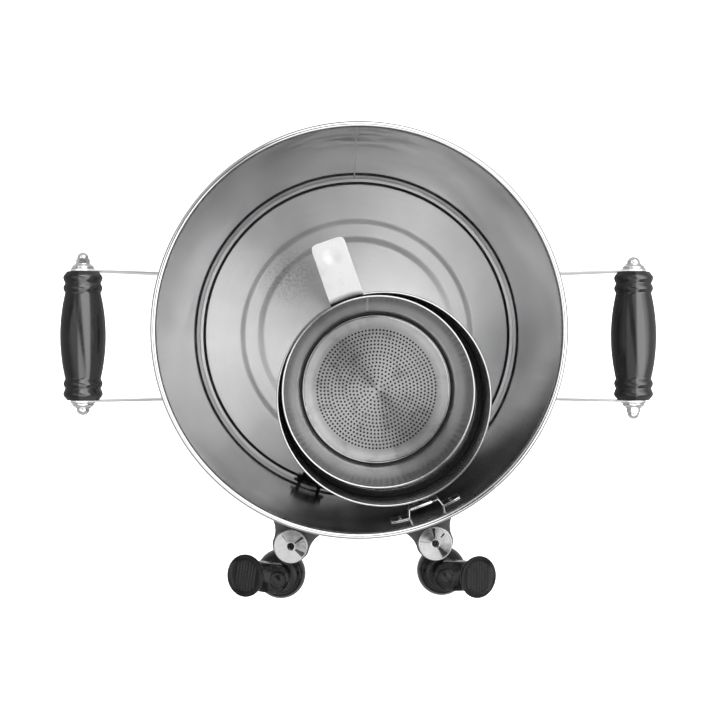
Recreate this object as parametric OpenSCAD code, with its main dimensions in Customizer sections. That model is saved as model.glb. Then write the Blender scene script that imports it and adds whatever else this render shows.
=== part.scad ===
// Open stainless tea urn, millimetres, +Z up.
// The origin is on the tank's axis, on the surface that the feet stand on.
// The taps face -Y, and the handles are on -X and +X.

/* [Tank] */
// Height of the rim above the table
rim_z = 415; // [400:1:440]
// Height of the tank floor above the table
floor_z = 91; // [86:1:96]
// Outer radius of the rolled rim
rim_r = 150; // [149:0.5:152]
// Diameter of the rolled rim bead
bead_d = 4.4; // [3.8:0.1:4.8]
// Overhang of the bead inside the wall
bead_in = 0.8; // [0.4:0.1:1]
// Thickness of the tank sheet
sheet = 1.0; // [0.8:0.1:1.2]
// Height of the ring pressed into the floor
floor_bead_h = 2.8; // [1.5:0.1:4]
// Height of the floor's upturned flange
flange_h = 5; // [4:0.1:6]

/* [Feet] */
// Height of the rubber feet
foot_h = 10; // [8:0.5:12]
// Radius of the rubber feet
foot_r = 13; // [11:0.5:14]
// Distance of the feet from the axis
foot_at = 130; // [127:0.5:131]

/* [Handles] */
// Distance of the grip's axis from the tank's axis
grip_x = 209; // [204:1:214]
// Drop of the grip's axis below the rim
grip_drop = 64; // [58:1:70]
// Length of the grip between its ears
grip_len = 97.5; // [92:0.5:100]
// Largest radius of the grip
grip_r = 17.1; // [15.5:0.1:18]
// Shift of both handles towards the front
handle_shift = 3.5; // [0:0.5:5]
// Thickness of the ear plates
ear_t = 1.5; // [1.2:0.1:2]

/* [Taps] */
// Angle of each tap from the front
tap_ang = 18.65; // [17:0.05:20]
// Turn of the pair of taps about the tank's axis
tap_turn = 1.05; // [-1.5:0.05:1.5]
// Height of the shank's axis above the tank floor
shank_up = 43; // [41:0.5:46]
// Turn of the left lever on its tap, as it stands
left_turn = -8; // [-20:1:20]
// Radius of the round bonnet
bonnet_r = 22; // [21:0.5:23]
// Radius of the thumb pad
pad_r = 18.5; // [17:0.5:19]
// Tilt of the thumb pad
pad_tilt = 30; // [24:1:34]

/* [Sight gauges] */
// Radius of the turned cap
cap_r = 12.5; // [11.5:0.1:13]
// Drop of the cap's top below the rim
cap_drop = 20; // [16:1:26]
// Outer radius of the glass tube
glass_r = 6; // [5.6:0.1:6.1]

/* [Infuser] */
// Outer radius of the holder sleeve
sleeve_r = 81.2; // [80.6:0.1:82]
// Depth of the holder sleeve
sleeve_h = 76; // [72:1:80]
// Outer radius of the infuser's rim
infuser_r = 72.5; // [70:0.1:72.8]
// Radius of the perforated field
field_r = 48; // [40:1:50]
// Distance between rings of holes
hole_pitch = 2.89; // [2.6:0.01:4]
// Radius of one hole
hole_r = 0.85; // [0.5:0.05:0.9]
// Length of the tab beyond the infuser's rim
tab_len = 47; // [40:0.2:50]
// Width of the tab
tab_w = 26; // [22:0.5:28]

/* [Hidden] */
$fn = 64;

wall_ri = rim_r - bead_d + bead_in;
wall_ro = wall_ri + sheet;
grip_z = rim_z - grip_drop;
shank_z = floor_z + shank_up;
tap_at = wall_ro + 77.6;
gauge_x = -59.6;
cap_top = rim_z - cap_drop;
seat_z = shank_z - 21;
body_top = shank_z + 15.3;
bonnet_top = shank_z + 32;
pin_u = 9.2;
pin_z = shank_z + 44;
sleeve_top = rim_z - 52;
sleeve_bot = sleeve_top - sleeve_h;
holder_ang = 20.5;
holder_at = wall_ri - 91.8;
holder_c = [holder_at * sin(holder_ang), -holder_at * cos(holder_ang)];
infuser_c = holder_c + [-4.42, 5.64];
inf_bot = sleeve_bot + 1.4;
inf_top = sleeve_top + 6;
tab_turn = 19;

steel = [0.74, 0.75, 0.76];
bright = [0.88, 0.88, 0.89];
black = [0.06, 0.06, 0.065];
grey = [0.2, 0.2, 0.21];
rubber = [0.12, 0.12, 0.12];

function arc(c, r, a0, a1, n) = [for (i = [0:n]) let (a = a0 + (a1 - a0) * i / n) c + r * [cos(a), sin(a)]];
function oval(c, rx, ry, a0, a1, n) = [for (i = [0:n]) let (a = a0 + (a1 - a0) * i / n) c + [rx * cos(a), ry * sin(a)]];
function bez(p, q, s, n) = [for (i = [0:n]) let (t = i / n) (1 - t) * (1 - t) * p + 2 * t * (1 - t) * q + t * t * s];
function wave(p, q, n) = [for (i = [0:n - 1]) let (t = i / n) [p[0] + (q[0] - p[0]) * (1 - cos(180 * t)) / 2, p[1] + (q[1] - p[1]) * t]];
function bow(p, q, n) = [for (i = [0:n - 1]) let (t = i / n) [q[0] + (p[0] - q[0]) * (1 - t) * (1 - t), p[1] + (q[1] - p[1]) * t]];
function rev(p) = [for (i = [len(p) - 1:-1:0]) p[i]];

module side(s) { mirror([s < 0 ? 1 : 0, 0, 0]) children(); }
module at_tap(s) { rotate([0, 0, tap_turn]) side(s) rotate([0, 0, tap_ang - 90]) translate([tap_at, 0, 0]) children(); }
module at_lever(s) {
  a = s * tap_ang + tap_turn;
  translate([tap_at * sin(a), -tap_at * cos(a), 0]) rotate([0, 0, s < 0 ? left_turn : 0]) side(s) children();
}
module along_x(x0, x1, r) { translate([x0, 0, 0]) rotate([0, 90, 0]) cylinder(r = r, h = x1 - x0); }
module tube(r0, r1, z0, z1) {
  difference() {
    translate([0, 0, z0]) cylinder(r = r1, h = z1 - z0);
    translate([0, 0, z0 - 1]) cylinder(r = r0, h = z1 - z0 + 2);
  }
}

// ---- tank ----
module tank_wall() {
  b = bead_d / 2;
  c = [rim_r - b, rim_z - b];
  a0 = -acos((wall_ro - c[0]) / b);
  a1 = 360 - acos((wall_ri - c[0]) / b);
  color(steel) difference() {
    rotate_extrude() polygon(concat([[wall_ri, foot_h], [wall_ro, foot_h]], arc(c, b, a0, a1, 32)));
    for (s = [-1, 1]) at_tap(s) translate([0, 0, shank_z]) along_x(-85, -70, 9.5);
  }
}

module tank_floor() {
  f = floor_z;
  t = 0.9;
  h = floor_bead_h;
  w = wall_ri;
  color(steel) rotate_extrude() polygon(concat(
    [[0, f], [87, f], [88.6, f + 0.2 * h], [90.4, f + 0.8 * h], [91.9, f + h], [103.5, f + h],
     [105.2, f + 0.8 * h], [107.3, f + 0.2 * h], [108.9, f]],
    // narrow groove and upturned flange along the wall
    [[w - 5, f], [w - 4.3, f - 0.4], [w - 3.9, f - 2], [w - 3.1, f - 2], [w - 2.7, f - 0.4], [w - 2, f + 0.1],
     [w - 1.3, f + 0.5], [w - 0.9, f + 1.6], [w - 0.9, f + flange_h], [w, f + flange_h],
     [w, f + 0.6], [w - 0.5, f - 0.5], [w - 1.8, f - 1], [w - 2.3, f - 2.7], [w - 3, f - 3], [w - 4, f - 3], [w - 4.7, f - 2.7], [w - 5.2, f - t]],
    [[108.9, f - t], [107.1, f + 0.2 * h - t], [105, f + 0.8 * h - t], [103.5, f + h - t],
     [91.9, f + h - t], [90.6, f + 0.8 * h - t], [88.8, f + 0.2 * h - t], [87, f - t], [0, f - t]]));
}

module base_ring() {
  z = foot_h;
  color(steel) difference() {
    rotate_extrude() polygon([[112, z], [wall_ri, z], [wall_ri, z + 20], [wall_ri - 1, z + 20],
      [wall_ri - 1, z + 1.5], [113, z + 1.5], [113, z + 6], [112, z + 6]]);
    for (a = [45:90:315]) rotate([0, 0, a]) translate([foot_at, 0, z - 1]) cylinder(r = 2.2, h = 4);
  }
}

module feet() {
  color(rubber) for (a = [45:90:315]) rotate([0, 0, a]) translate([foot_at, 0, 0])
    rotate_extrude() polygon([[5, 0], [foot_r - 1, 0], [foot_r, 1], [foot_r - 1.5, foot_h], [2.2, foot_h], [2.2, 4], [5, 4]]);
}

module foot_screws() {
  color(bright) for (a = [45:90:315]) rotate([0, 0, a]) translate([foot_at, 0, 0])
    rotate_extrude() polygon([[0, 1.8], [3.4, 1.8], [4.5, 2.8], [4.5, 4], [2, 4], [2, foot_h + 7], [0, foot_h + 7]]);
}

module foot_nuts() {
  color(bright) for (a = [45:90:315]) rotate([0, 0, a]) translate([foot_at, 0, foot_h + 1.5])
    difference() {
      cylinder(r = 4.2, h = 3.2, $fn = 6);
      translate([0, 0, -1]) cylinder(r = 2.05, h = 6);
    }
}

// ---- handles ----
module handle_bracket(s) {
  z0 = grip_z - 80;
  z1 = grip_z - 38;
  r1 = wall_ro + ear_t;
  half = grip_len / 2 + ear_t + 4;
  a0 = -asin((half + handle_shift) / wall_ro);
  a1 = asin((half - handle_shift) / wall_ro);
  color(steel) side(s) difference() {
    union() {
      rotate([0, 0, a0]) rotate_extrude(angle = a1 - a0)
        polygon([[wall_ro, z0], [r1, z0], [r1, z1], [wall_ro, z1]]);
      for (e = [-1, 1]) {
        y = -handle_shift + e * (grip_len / 2 + ear_t / 2);
        x0 = sqrt(pow(wall_ro + ear_t / 2, 2) - y * y);
        translate([0, y + ear_t / 2, 0]) rotate([90, 0, 0]) linear_extrude(ear_t) union() {
          polygon([[x0, z0 + 2], [x0, z1 - 2], [grip_x - 5.3, grip_z + 6], [grip_x + 5.3, grip_z - 6]]);
          translate([grip_x, grip_z]) circle(r = 9.4);
        }
      }
    }
    translate([grip_x, 100, grip_z]) rotate([90, 0, 0]) cylinder(r = 3.05, h = 200);
  }
}

module grip(s) {
  h = grip_len / 2;
  k = [[12.2, 0], [14.75, 4.6], [13.5, 8.9], [14.65, 12.6], [13.5, 16.2], [grip_r, h]];
  up = concat(wave(k[0], k[1], 5), wave(k[1], k[2], 5), wave(k[2], k[3], 5), wave(k[3], k[4], 5), bow(k[4], k[5], 10));
  full = concat(up, [k[5]], [for (p = rev(up)) [p[0], 2 * h - p[1]]]);
  color(black) side(s) translate([grip_x, -handle_shift + h, grip_z]) rotate([90, 0, 0])
    rotate_extrude() polygon(concat([[3.1, 0]], full, [[3.1, 2 * h]]));
}

// The bolt's head is at the front on the left handle and at the back on the right one.
module on_bolt(s, end) {
  side(s) translate([grip_x, -handle_shift, grip_z]) rotate([end > 0 ? -90 : 90, 0, 0])
    translate([0, 0, grip_len / 2 + ear_t]) children();
}

module handle_bolt(s) {
  color(bright) on_bolt(s, s) rotate_extrude() polygon(concat(
    [[0, -grip_len - 2 * ear_t - 4.6 - 6], [3, -grip_len - 2 * ear_t - 4.6 - 6], [3, 4.6], [4.9, 4.6]],
    oval([0, 5.6], 4.9, 4.2, 0, 90, 8)));
}

module cap_nut(s) {
  color(bright) on_bolt(s, -s) translate([0, 0, 4.6]) difference() {
    union() {
      cylinder(r = 5.3, h = 3.6, $fn = 6);
      rotate_extrude() polygon(concat([[0, 0.5], [4.3, 0.5], [4.3, 4.4]], oval([0, 4.4], 4.3, 3.9, 0, 90, 8)));
    }
    translate([0, 0, -1]) cylinder(r = 3.02, h = 7.2);
  }
}

module handle_ferrules() {
  color(bright) for (s = [-1, 1], e = [-1, 1]) on_bolt(s, e)
    rotate_extrude() polygon([[3.05, 0], [9.35, 0], [9.35, 1], [8.6, 2.2], [7, 3], [5.6, 3.7], [5.4, 4.6], [3.05, 4.6]]);
}

// ---- taps, in a frame on the tap's vertical axis with +x away from the tank ----
module tap_body(s) {
  z = seat_z;
  color(black) at_tap(s) difference() {
    union() {
      rotate_extrude() polygon([[0, z - 34], [9.6, z - 34], [10.4, z - 33], [10.6, z - 24], [12, z - 18],
        [15.4, z - 8], [17, z - 2], [17, body_top], [0, body_top]]);
      translate([0, 0, shank_z]) {
        along_x(-92.4, -12, 9);
        along_x(-48, -41, 12.6);
        along_x(-41.5, -12, 10.8);
      }
    }
    translate([0, 0, z]) cylinder(r = 13, h = 60);
    translate([0, 0, z - 40]) cylinder(r = 7, h = 41);
    translate([0, 0, shank_z]) along_x(-95, -5, 6);
    translate([gauge_x, 0, shank_z]) cylinder(r = 2.5, h = 20);
  }
}

module gauge_tee(s) {
  color(black) at_tap(s) difference() {
    union() {
      translate([0, 0, shank_z]) along_x(-72, -48, 13);
      translate([gauge_x, 0, shank_z]) cylinder(r = 11.5, h = 29);
    }
    translate([0, 0, shank_z]) along_x(-75, -45, 9.02);
    translate([gauge_x, 0, shank_z]) cylinder(r = 2.5, h = 40);
    translate([gauge_x, 0, shank_z + 19]) cylinder(r = 6.3, h = 20);
    translate([gauge_x, 0, shank_z + 25]) cylinder(r = 9.55, h = 20);
  }
}

module outer_gasket(s) {
  color(rubber) at_tap(s) difference() {
    translate([0, 0, shank_z]) along_x(-79.5, -72, 14.5);
    translate([0, 0, shank_z]) along_x(-82, -70, 9.1);
    translate([-tap_at, 0, 0]) cylinder(r = wall_ro, h = rim_z, $fn = 360);
  }
}

module inner_gasket(s) {
  color(grey) at_tap(s) intersection() {
    difference() {
      translate([0, 0, shank_z]) along_x(-82.6, -76, 11);
      translate([0, 0, shank_z]) along_x(-85, -70, 9.1);
    }
    translate([-tap_at, 0, 0]) cylinder(r = wall_ri, h = rim_z, $fn = 360);
  }
}

module lock_nut(s) {
  color(black) at_tap(s) translate([0, 0, shank_z]) difference() {
    union() {
      along_x(-84.8, -82.6, 15);
      translate([-92.2, 0, 0]) rotate([0, 90, 0]) cylinder(r = 15.2, h = 8, $fn = 6);
    }
    along_x(-95, -75, 9.02);
  }
}

module bonnet(s) {
  z = shank_z;
  color(black) at_tap(s) rotate_extrude() polygon(concat(
    [[17, z + 11.2], [bonnet_r - 1, z + 11.2], [bonnet_r, z + 12.2]],
    oval([8, z + 17], bonnet_r - 8, 15, 0, 90, 12),
    [[4.08, bonnet_top], [4.08, z + 25], [11, z + 25], [11, z + 15.6], [17, z + 15.6]]));
}

// ---- levers, in a frame on the tap's vertical axis with +x along the lever ----
module swivel_collar(s) {
  z = bonnet_top + 0.3;
  color(black) at_lever(s) difference() {
    union() {
      translate([0, 0, z]) cylinder(r = 12.2, h = 2.7);
      for (e = [-1, 1]) translate([0, e * 7.7 + 1.5, 0]) rotate([90, 0, 0]) linear_extrude(3) union() {
        polygon([[1, z + 1], [8, z + 1], [pin_u + 4.4, pin_z - 1], [pin_u + 4.4, pin_z + 1], [pin_u - 4.4, pin_z + 1], [1, z + 5]]);
        translate([pin_u, pin_z]) circle(r = 4.7);
      }
    }
    translate([0, 0, z - 1]) cylinder(r = 4.3, h = 8);
    translate([pin_u, 20, pin_z]) rotate([90, 0, 0]) cylinder(r = 2, h = 40);
  }
}

module lever_pin(s) {
  color(bright) at_lever(s) translate([pin_u, 12.6, pin_z]) rotate([90, 0, 0]) cylinder(r = 2, h = 25.2);
}

module lever(s) {
  z = pin_z;
  pc = [29, z + 10];
  color(black) at_lever(s) difference() {
    union() {
      // roof of the root and the arm under the pad
      translate([0, 13, 0]) rotate([90, 0, 0]) linear_extrude(26)
        polygon([[-9, z + 6.5], [14, z + 6.5], [22, z + 4], [33, z + 3], [36, z + 4.5], [26, z + 11], [16, z + 16],
          [9, z + 11.5], [-7, z + 9.5], [-9, z + 8.5]]);
      // side skirts over the collar's cheeks
      for (e = [-1, 1]) translate([0, e * 11.3 + 1.7, 0]) rotate([90, 0, 0]) linear_extrude(3.4)
        polygon([[-9, z + 8], [-9, z - 3], [-7, z - 5], [13, z - 5.5], [20, z - 3], [24, z + 6], [14, z + 9]]);
      // lifting arms on each side of the stem's neck
      for (e = [-1, 1]) translate([0, e * 4.1 + 1.4, 0]) rotate([90, 0, 0]) linear_extrude(2.8) union() {
        polygon([[0, z - 1.3], [13, z - 1.3], [13, z + 7.5], [6.2, z + 7.5], [6.2, z + 1.9], [0, z + 1.9]]);
        translate([0, z + 0.3]) circle(r = 1.6);
      }
      // thumb pad with its raised edge and ribs
      translate([pc[0], 0, pc[1]]) rotate([0, pad_tilt, 0]) {
        translate([0, 0, -3]) cylinder(r = pad_r, h = 4.4);
        tube(pad_r - 2.4, pad_r, 0, 3);
        for (i = [-3:3]) translate([i * 2.9, 0, 1.3]) {
          w = sqrt(pow(pad_r - 5.5, 2) - i * i * 8.41);
          translate([0, w, 0]) rotate([90, 0, 0]) cylinder(r = 0.9, h = 2 * w);
        }
      }
    }
    translate([pin_u, 20, z]) rotate([90, 0, 0]) cylinder(r = 2.06, h = 40);
  }
}

module stem(s) {
  z = seat_z;
  color(grey) at_lever(s) rotate_extrude() polygon([[0, z + 4], [3, z + 4], [3, z + 13.7], [8, z + 13.7], [8, z + 15.7],
    [4, z + 15.7], [4, z + 60], [2.2, z + 60], [2.2, pin_z + 2.2], [5, pin_z + 2.2], [5, pin_z + 4], [4.4, pin_z + 4.6], [0, pin_z + 4.6]]);
}

module seat_cup(s) {
  z = seat_z;
  color(grey) at_lever(s) rotate_extrude() polygon([[0, z + 0.3], [8.6, z + 0.3], [9.6, z + 1.2], [9.6, z + 4], [8, z + 9],
    [6, z + 13.7], [3, z + 13.7], [3, z + 4], [0, z + 4]]);
}

module spring(s) {
  wire = 0.8;
  coil = 6.2;
  turns = 5;
  per = 14;
  sides = 6;
  z0 = seat_z + 15.7 + wire + 0.1;
  z1 = shank_z + 25 - wire - 0.1;
  n = turns * per;
  ring = [for (i = [0:n], j = [0:sides - 1])
    let (a = 360 * i / per, b = 360 * j / sides, r = coil + wire * cos(b))
    [r * cos(a), r * sin(a), z0 + (z1 - z0) * i / n + wire * sin(b)]];
  faces = concat(
    [[for (j = [0:sides - 1]) j]],
    [for (i = [0:n - 1], j = [0:sides - 1])
      [i * sides + j, (i + 1) * sides + j, (i + 1) * sides + (j + 1) % sides, i * sides + (j + 1) % sides]],
    [[for (j = [sides - 1:-1:0]) n * sides + j]]);
  color(bright) at_lever(s) polyhedron(ring, faces);
}

// ---- sight gauges ----
module gauge_glass(s) {
  color([0.85, 0.9, 0.92, 0.4]) at_tap(s) translate([gauge_x, 0, 0]) tube(glass_r - 1.6, glass_r, shank_z + 19.3, cap_top - 7);
}

module gauge_guard(s) {
  color(bright) at_tap(s) translate([gauge_x, 0, 0]) difference() {
    tube(8.5, 9.5, shank_z + 25.1, cap_top - 9);
    translate([0, -4.5, shank_z + 36]) cube([20, 9, cap_top - 34 - shank_z - 36]);
  }
}

module gauge_seals() {
  color(rubber) for (s = [-1, 1]) at_tap(s) translate([gauge_x, 0, 0]) {
    tube(glass_r + 0.05, 8.4, shank_z + 25.1, shank_z + 28.6);
    tube(glass_r + 0.05, 8.4, cap_top - 13, cap_top - 9.6);
  }
}

module gauge_cap(s) {
  t = cap_top;
  color(bright) at_tap(s) translate([gauge_x, 0, 0]) rotate_extrude() polygon(concat(
    [[9.55, t - 14], [cap_r - 0.6, t - 14], [cap_r, t - 13.4]],
    arc([cap_r - 1.4, t - 1.4], 1.4, 0, 90, 6),
    [[3, t], [2.2, t - 0.8], [2.2, t - 4], [8, t - 4], [8, t - 9], [9.55, t - 9]]));
}

module gauge_bracket(s) {
  xw = sqrt(wall_ro * wall_ro - 24.5 * 24.5) - tap_at;
  // concave flanks with a blunt tip on the wall
  up = concat(bez([gauge_x + 2, 13.85], [gauge_x - 9, 12.6], [xw + 3.6, 22.3], 8), [[xw + 2.8, 23.7], [xw + 1.2, 24.5], [xw - 3, 24.5]]);
  color(grey) at_tap(s) difference() {
    translate([0, 0, cap_top - 29]) linear_extrude(15) union() {
      translate([gauge_x, 0]) circle(r = 14);
      polygon(concat(up, [for (p = rev(up)) [p[0], -p[1]]]));
    }
    translate([-tap_at, 0, 0]) cylinder(r = wall_ro, h = rim_z, $fn = 360);
    translate([gauge_x, 0, cap_top - 40]) cylinder(r = 9.55, h = 60);
    translate([0, 0, cap_top - 21.5]) along_x(-90, -72.4, 2.5);
  }
}

module bracket_studs() {
  color(steel) for (s = [-1, 1]) at_tap(s) difference() {
    translate([0, 0, cap_top - 21.5]) along_x(-79, -72.4, 2.5);
    translate([-tap_at, 0, 0]) cylinder(r = wall_ro, h = rim_z, $fn = 360);
  }
}

// ---- infuser and its holder ----
module infuser_clip() {
  o = function (y) sqrt(pow(wall_ri - 0.05, 2) - y * y);
  x = wall_ri - 7.3;
  t = 0.8;
  // front plate, two splayed legs and two flanges on the wall
  color(steel) rotate([0, 0, holder_ang - 90]) translate([0, 0, sleeve_top - 30]) linear_extrude(30)
    polygon([[o(27.8), 27.8], [o(27.8) - t, 27.8], [o(13.9) - t, 13.9], [x, 12], [x, -12], [o(13.9) - t, -13.9], [o(27.8) - t, -27.8],
      [o(27.8), -27.8], [o(12.9), -12.9], [x + t, -11], [x + t, 11], [o(12.9), 12.9]]);
}

module holder_sleeve() {
  r = sleeve_r;
  b = sleeve_bot;
  t = sleeve_top;
  // flat ledge, cone, straight wall and an inward-rolled rim
  color(steel) translate([holder_c[0], holder_c[1], 0]) rotate_extrude() polygon(concat(
    [[53, b], [r - 6, b], [r - 5.2, b + 0.4], [r - 4.6, b + 1.4], [r, b + 9.2]],
    arc([r - 0.9, t - 0.9], 0.9, 0, 255, 12),
    [[r - 0.8, b + 9.5], [r - 5.35, b + 1.7], [r - 5.7, b + 1], [r - 6.3, b + 0.8], [53, b + 0.8]]));
}

module holder_hook() {
  x = wall_ri - 6.9;
  z = sleeve_top;
  a = holder_at + sleeve_r + 0.05;
  // pad on the sleeve, step outwards and a tight fold over the clip's front plate
  color(steel) rotate([0, 0, holder_ang - 90]) translate([0, 6.6, 0]) rotate([90, 0, 0]) linear_extrude(17.2) polygon(concat(
    [[a, z - 33], [a, z - 13], [x - 1.65, z - 8.5]], arc([x, z], 1.65, 180, 0, 12),
    [[x + 1.65, z - 18], [x + 0.75, z - 18]], arc([x, z], 0.75, 0, 180, 8), [[x - 0.75, z - 8.2], [a + 0.9, z - 12.7], [a + 0.9, z - 33]]));
}

module infuser_cup() {
  r = infuser_r;
  b = inf_bot;
  t = inf_top;
  // seat for the screen, narrow groove, tapered wall and a rolled rim
  color(steel) translate([infuser_c[0], infuser_c[1], 0]) rotate_extrude() polygon(concat(
    [[57.6, b], [60.6, b], [61.6, b + 0.9]],
    arc([r - 1.25, t - 1.25], 1.25, -75, 200, 14),
    [[60.7, b + 2], [60.5, b + 0.9], [59.1, b + 0.9], [59, b + 2.6], [57.6, b + 2.6]]));
}

module infuser_screen() {
  rings = floor(field_r / hole_pitch);
  color(steel) translate([infuser_c[0], infuser_c[1], inf_bot + 1.8]) linear_extrude(0.8) difference() {
    circle(r = 57.6);
    circle(r = hole_r);
    for (k = [1:rings]) for (i = [0:round(6.5 * k) - 1]) rotate(360 * (i + k % 2 / 2) / round(6.5 * k))
      translate([(k + 0.42) * hole_pitch, 0]) circle(r = hole_r, $fn = 24);
  }
}

module infuser_tab() {
  y0 = infuser_r - 0.8;
  y1 = infuser_r + tab_len;
  w = tab_w / 2;
  c = 4.5;
  z1 = inf_top - 1.6;
  // plate that bends down into a short leg on the outside of the cup's wall
  color(steel) translate([infuser_c[0], infuser_c[1], 0]) rotate([0, 0, tab_turn]) difference() {
    union() {
      translate([0, 0, z1 - 1.2]) linear_extrude(1.2) polygon(concat(
        [[-w, y0 + 2.2], [w, y0 + 2.2]], arc([w - c, y1 - c], c, 0, 90, 6), arc([c - w, y1 - c], c, 90, 180, 6)));
      translate([-w, 0, 0]) rotate([90, 0, 90]) linear_extrude(tab_w) polygon(concat(
        arc([y0 + 3.2, z1 - 3.4], 3.4, 90, 168, 6), [[y0 - 0.1, z1 - 4], [y0 + 1.1, z1 - 4]], arc([y0 + 3.2, z1 - 3.4], 2.2, 168, 90, 6)));
    }
    translate([0, y1 - 12.5, z1 + 40.5]) sphere(r = 41.1);
    translate([0, 0, z1 - 20]) cylinder(r = infuser_r - 0.85, h = 40, $fn = 360);
  }
}

module left_handle_bracket() { handle_bracket(-1); }
module right_handle_bracket() { handle_bracket(1); }
module left_grip() { grip(-1); }
module right_grip() { grip(1); }
module left_handle_bolt() { handle_bolt(-1); }
module right_handle_bolt() { handle_bolt(1); }
module left_cap_nut() { cap_nut(-1); }
module right_cap_nut() { cap_nut(1); }
module left_tap_body() { tap_body(-1); }
module right_tap_body() { tap_body(1); }
module left_gauge_tee() { gauge_tee(-1); }
module right_gauge_tee() { gauge_tee(1); }
module left_outer_gasket() { outer_gasket(-1); }
module right_outer_gasket() { outer_gasket(1); }
module left_inner_gasket() { inner_gasket(-1); }
module right_inner_gasket() { inner_gasket(1); }
module left_lock_nut() { lock_nut(-1); }
module right_lock_nut() { lock_nut(1); }
module left_bonnet() { bonnet(-1); }
module right_bonnet() { bonnet(1); }
module left_swivel_collar() { swivel_collar(-1); }
module right_swivel_collar() { swivel_collar(1); }
module left_lever_pin() { lever_pin(-1); }
module right_lever_pin() { lever_pin(1); }
module left_lever() { lever(-1); }
module right_lever() { lever(1); }
module left_stem() { stem(-1); }
module right_stem() { stem(1); }
module left_seat_cup() { seat_cup(-1); }
module right_seat_cup() { seat_cup(1); }
module left_spring() { spring(-1); }
module right_spring() { spring(1); }
module left_gauge_glass() { gauge_glass(-1); }
module right_gauge_glass() { gauge_glass(1); }
module left_gauge_guard() { gauge_guard(-1); }
module right_gauge_guard() { gauge_guard(1); }
module left_gauge_cap() { gauge_cap(-1); }
module right_gauge_cap() { gauge_cap(1); }
module left_gauge_bracket() { gauge_bracket(-1); }
module right_gauge_bracket() { gauge_bracket(1); }

tank_wall();
tank_floor();
base_ring();
feet();
foot_screws();
foot_nuts();
infuser_clip();
left_handle_bracket();
right_handle_bracket();
left_grip();
right_grip();
left_handle_bolt();
right_handle_bolt();
left_cap_nut();
right_cap_nut();
handle_ferrules();
left_tap_body();
right_tap_body();
left_gauge_tee();
right_gauge_tee();
left_outer_gasket();
right_outer_gasket();
left_inner_gasket();
right_inner_gasket();
left_lock_nut();
right_lock_nut();
left_bonnet();
right_bonnet();
left_swivel_collar();
right_swivel_collar();
left_lever_pin();
right_lever_pin();
left_lever();
right_lever();
left_stem();
right_stem();
left_seat_cup();
right_seat_cup();
left_spring();
right_spring();
left_gauge_glass();
right_gauge_glass();
left_gauge_guard();
right_gauge_guard();
gauge_seals();
left_gauge_cap();
right_gauge_cap();
left_gauge_bracket();
right_gauge_bracket();
bracket_studs();
holder_sleeve();
holder_hook();
infuser_cup();
infuser_screen();
infuser_tab();
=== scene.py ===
import bpy
import bmesh
import math
import random
from mathutils import Matrix, Vector
from mathutils import noise as mnoise
from mathutils.geometry import delaunay_2d_cdt


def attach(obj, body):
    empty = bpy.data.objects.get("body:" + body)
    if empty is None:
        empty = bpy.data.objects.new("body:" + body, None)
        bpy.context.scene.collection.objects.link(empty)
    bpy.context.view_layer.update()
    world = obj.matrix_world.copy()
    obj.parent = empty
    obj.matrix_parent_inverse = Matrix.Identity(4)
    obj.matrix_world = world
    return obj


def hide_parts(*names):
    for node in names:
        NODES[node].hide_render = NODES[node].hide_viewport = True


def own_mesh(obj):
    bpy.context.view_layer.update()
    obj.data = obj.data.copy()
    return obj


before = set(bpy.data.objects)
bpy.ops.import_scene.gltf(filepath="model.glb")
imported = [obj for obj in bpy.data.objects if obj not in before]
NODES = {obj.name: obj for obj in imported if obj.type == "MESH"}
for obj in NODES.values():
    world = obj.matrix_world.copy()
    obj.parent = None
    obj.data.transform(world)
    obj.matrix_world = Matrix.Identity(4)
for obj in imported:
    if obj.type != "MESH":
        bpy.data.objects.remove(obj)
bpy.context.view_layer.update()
random.seed(7)

# ------------------------------------------------------------------ sizes, in millimetres, as in the CAD model
RIM_Z, FLOOR_Z, RIM_R, BEAD, BEAD_IN, SHEET = 415.0, 91.0, 150.0, 4.4, 0.8, 1.0
WALL_RI = RIM_R - BEAD + BEAD_IN
WALL_RO = WALL_RI + SHEET
FOOT_H, FOOT_R, FOOT_AT = 10.0, 13.0, 130.0
GRIP_X, GRIP_Z, GRIP_LEN, GRIP_R, HANDLE_Y, EAR_T = 209.0, 351.0, 97.5, 17.09, -3.5, 1.5
TAP_ANG, TAP_TURN, LEFT_TURN = math.radians(18.65), math.radians(1.05), math.radians(-8.0)
SHANK_Z = 134.0
SEAT_Z = SHANK_Z - 21.0
BODY_TOP = SHANK_Z + 15.3
TAP_AT = WALL_RO + 77.6
GAUGE_X = -59.6
CAP_TOP, CAP_R = RIM_Z - 20.0, 12.5
PIN_U, PIN_Z = 9.2, SHANK_Z + 44.0
BONNET_R, BONNET_TOP = 22.0, SHANK_Z + 32.0
PAD_R, PAD_TILT = 18.47, math.radians(30.0)
SLEEVE_R, SLEEVE_TOP, SLEEVE_BOT = 81.2, RIM_Z - 52.0, RIM_Z - 128.0
HOLD_ANG = math.radians(20.5)
HOLD_AT = WALL_RI - 91.8
HOLD_C = (HOLD_AT * math.sin(HOLD_ANG), -HOLD_AT * math.cos(HOLD_ANG))
INF_C = (HOLD_C[0] - 4.42, HOLD_C[1] + 5.64)
INF_R, INF_TOP, INF_BOT = 72.5, SLEEVE_TOP + 6.0, SLEEVE_BOT + 1.4
TAB_TURN = math.radians(19.0)
TAB_W, TAB_LEN = 26.0, 47.0
FIELD_R, HOLE_PITCH, HOLE_R = 48.0, 2.89, 0.85


# ------------------------------------------------------------------ mesh helpers
def arc(cx, cz, r, a0, a1, n):
    return [(cx + r * math.cos(math.radians(a0 + (a1 - a0) * i / n)), cz + r * math.sin(math.radians(a0 + (a1 - a0) * i / n))) for i in range(n + 1)]


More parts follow.
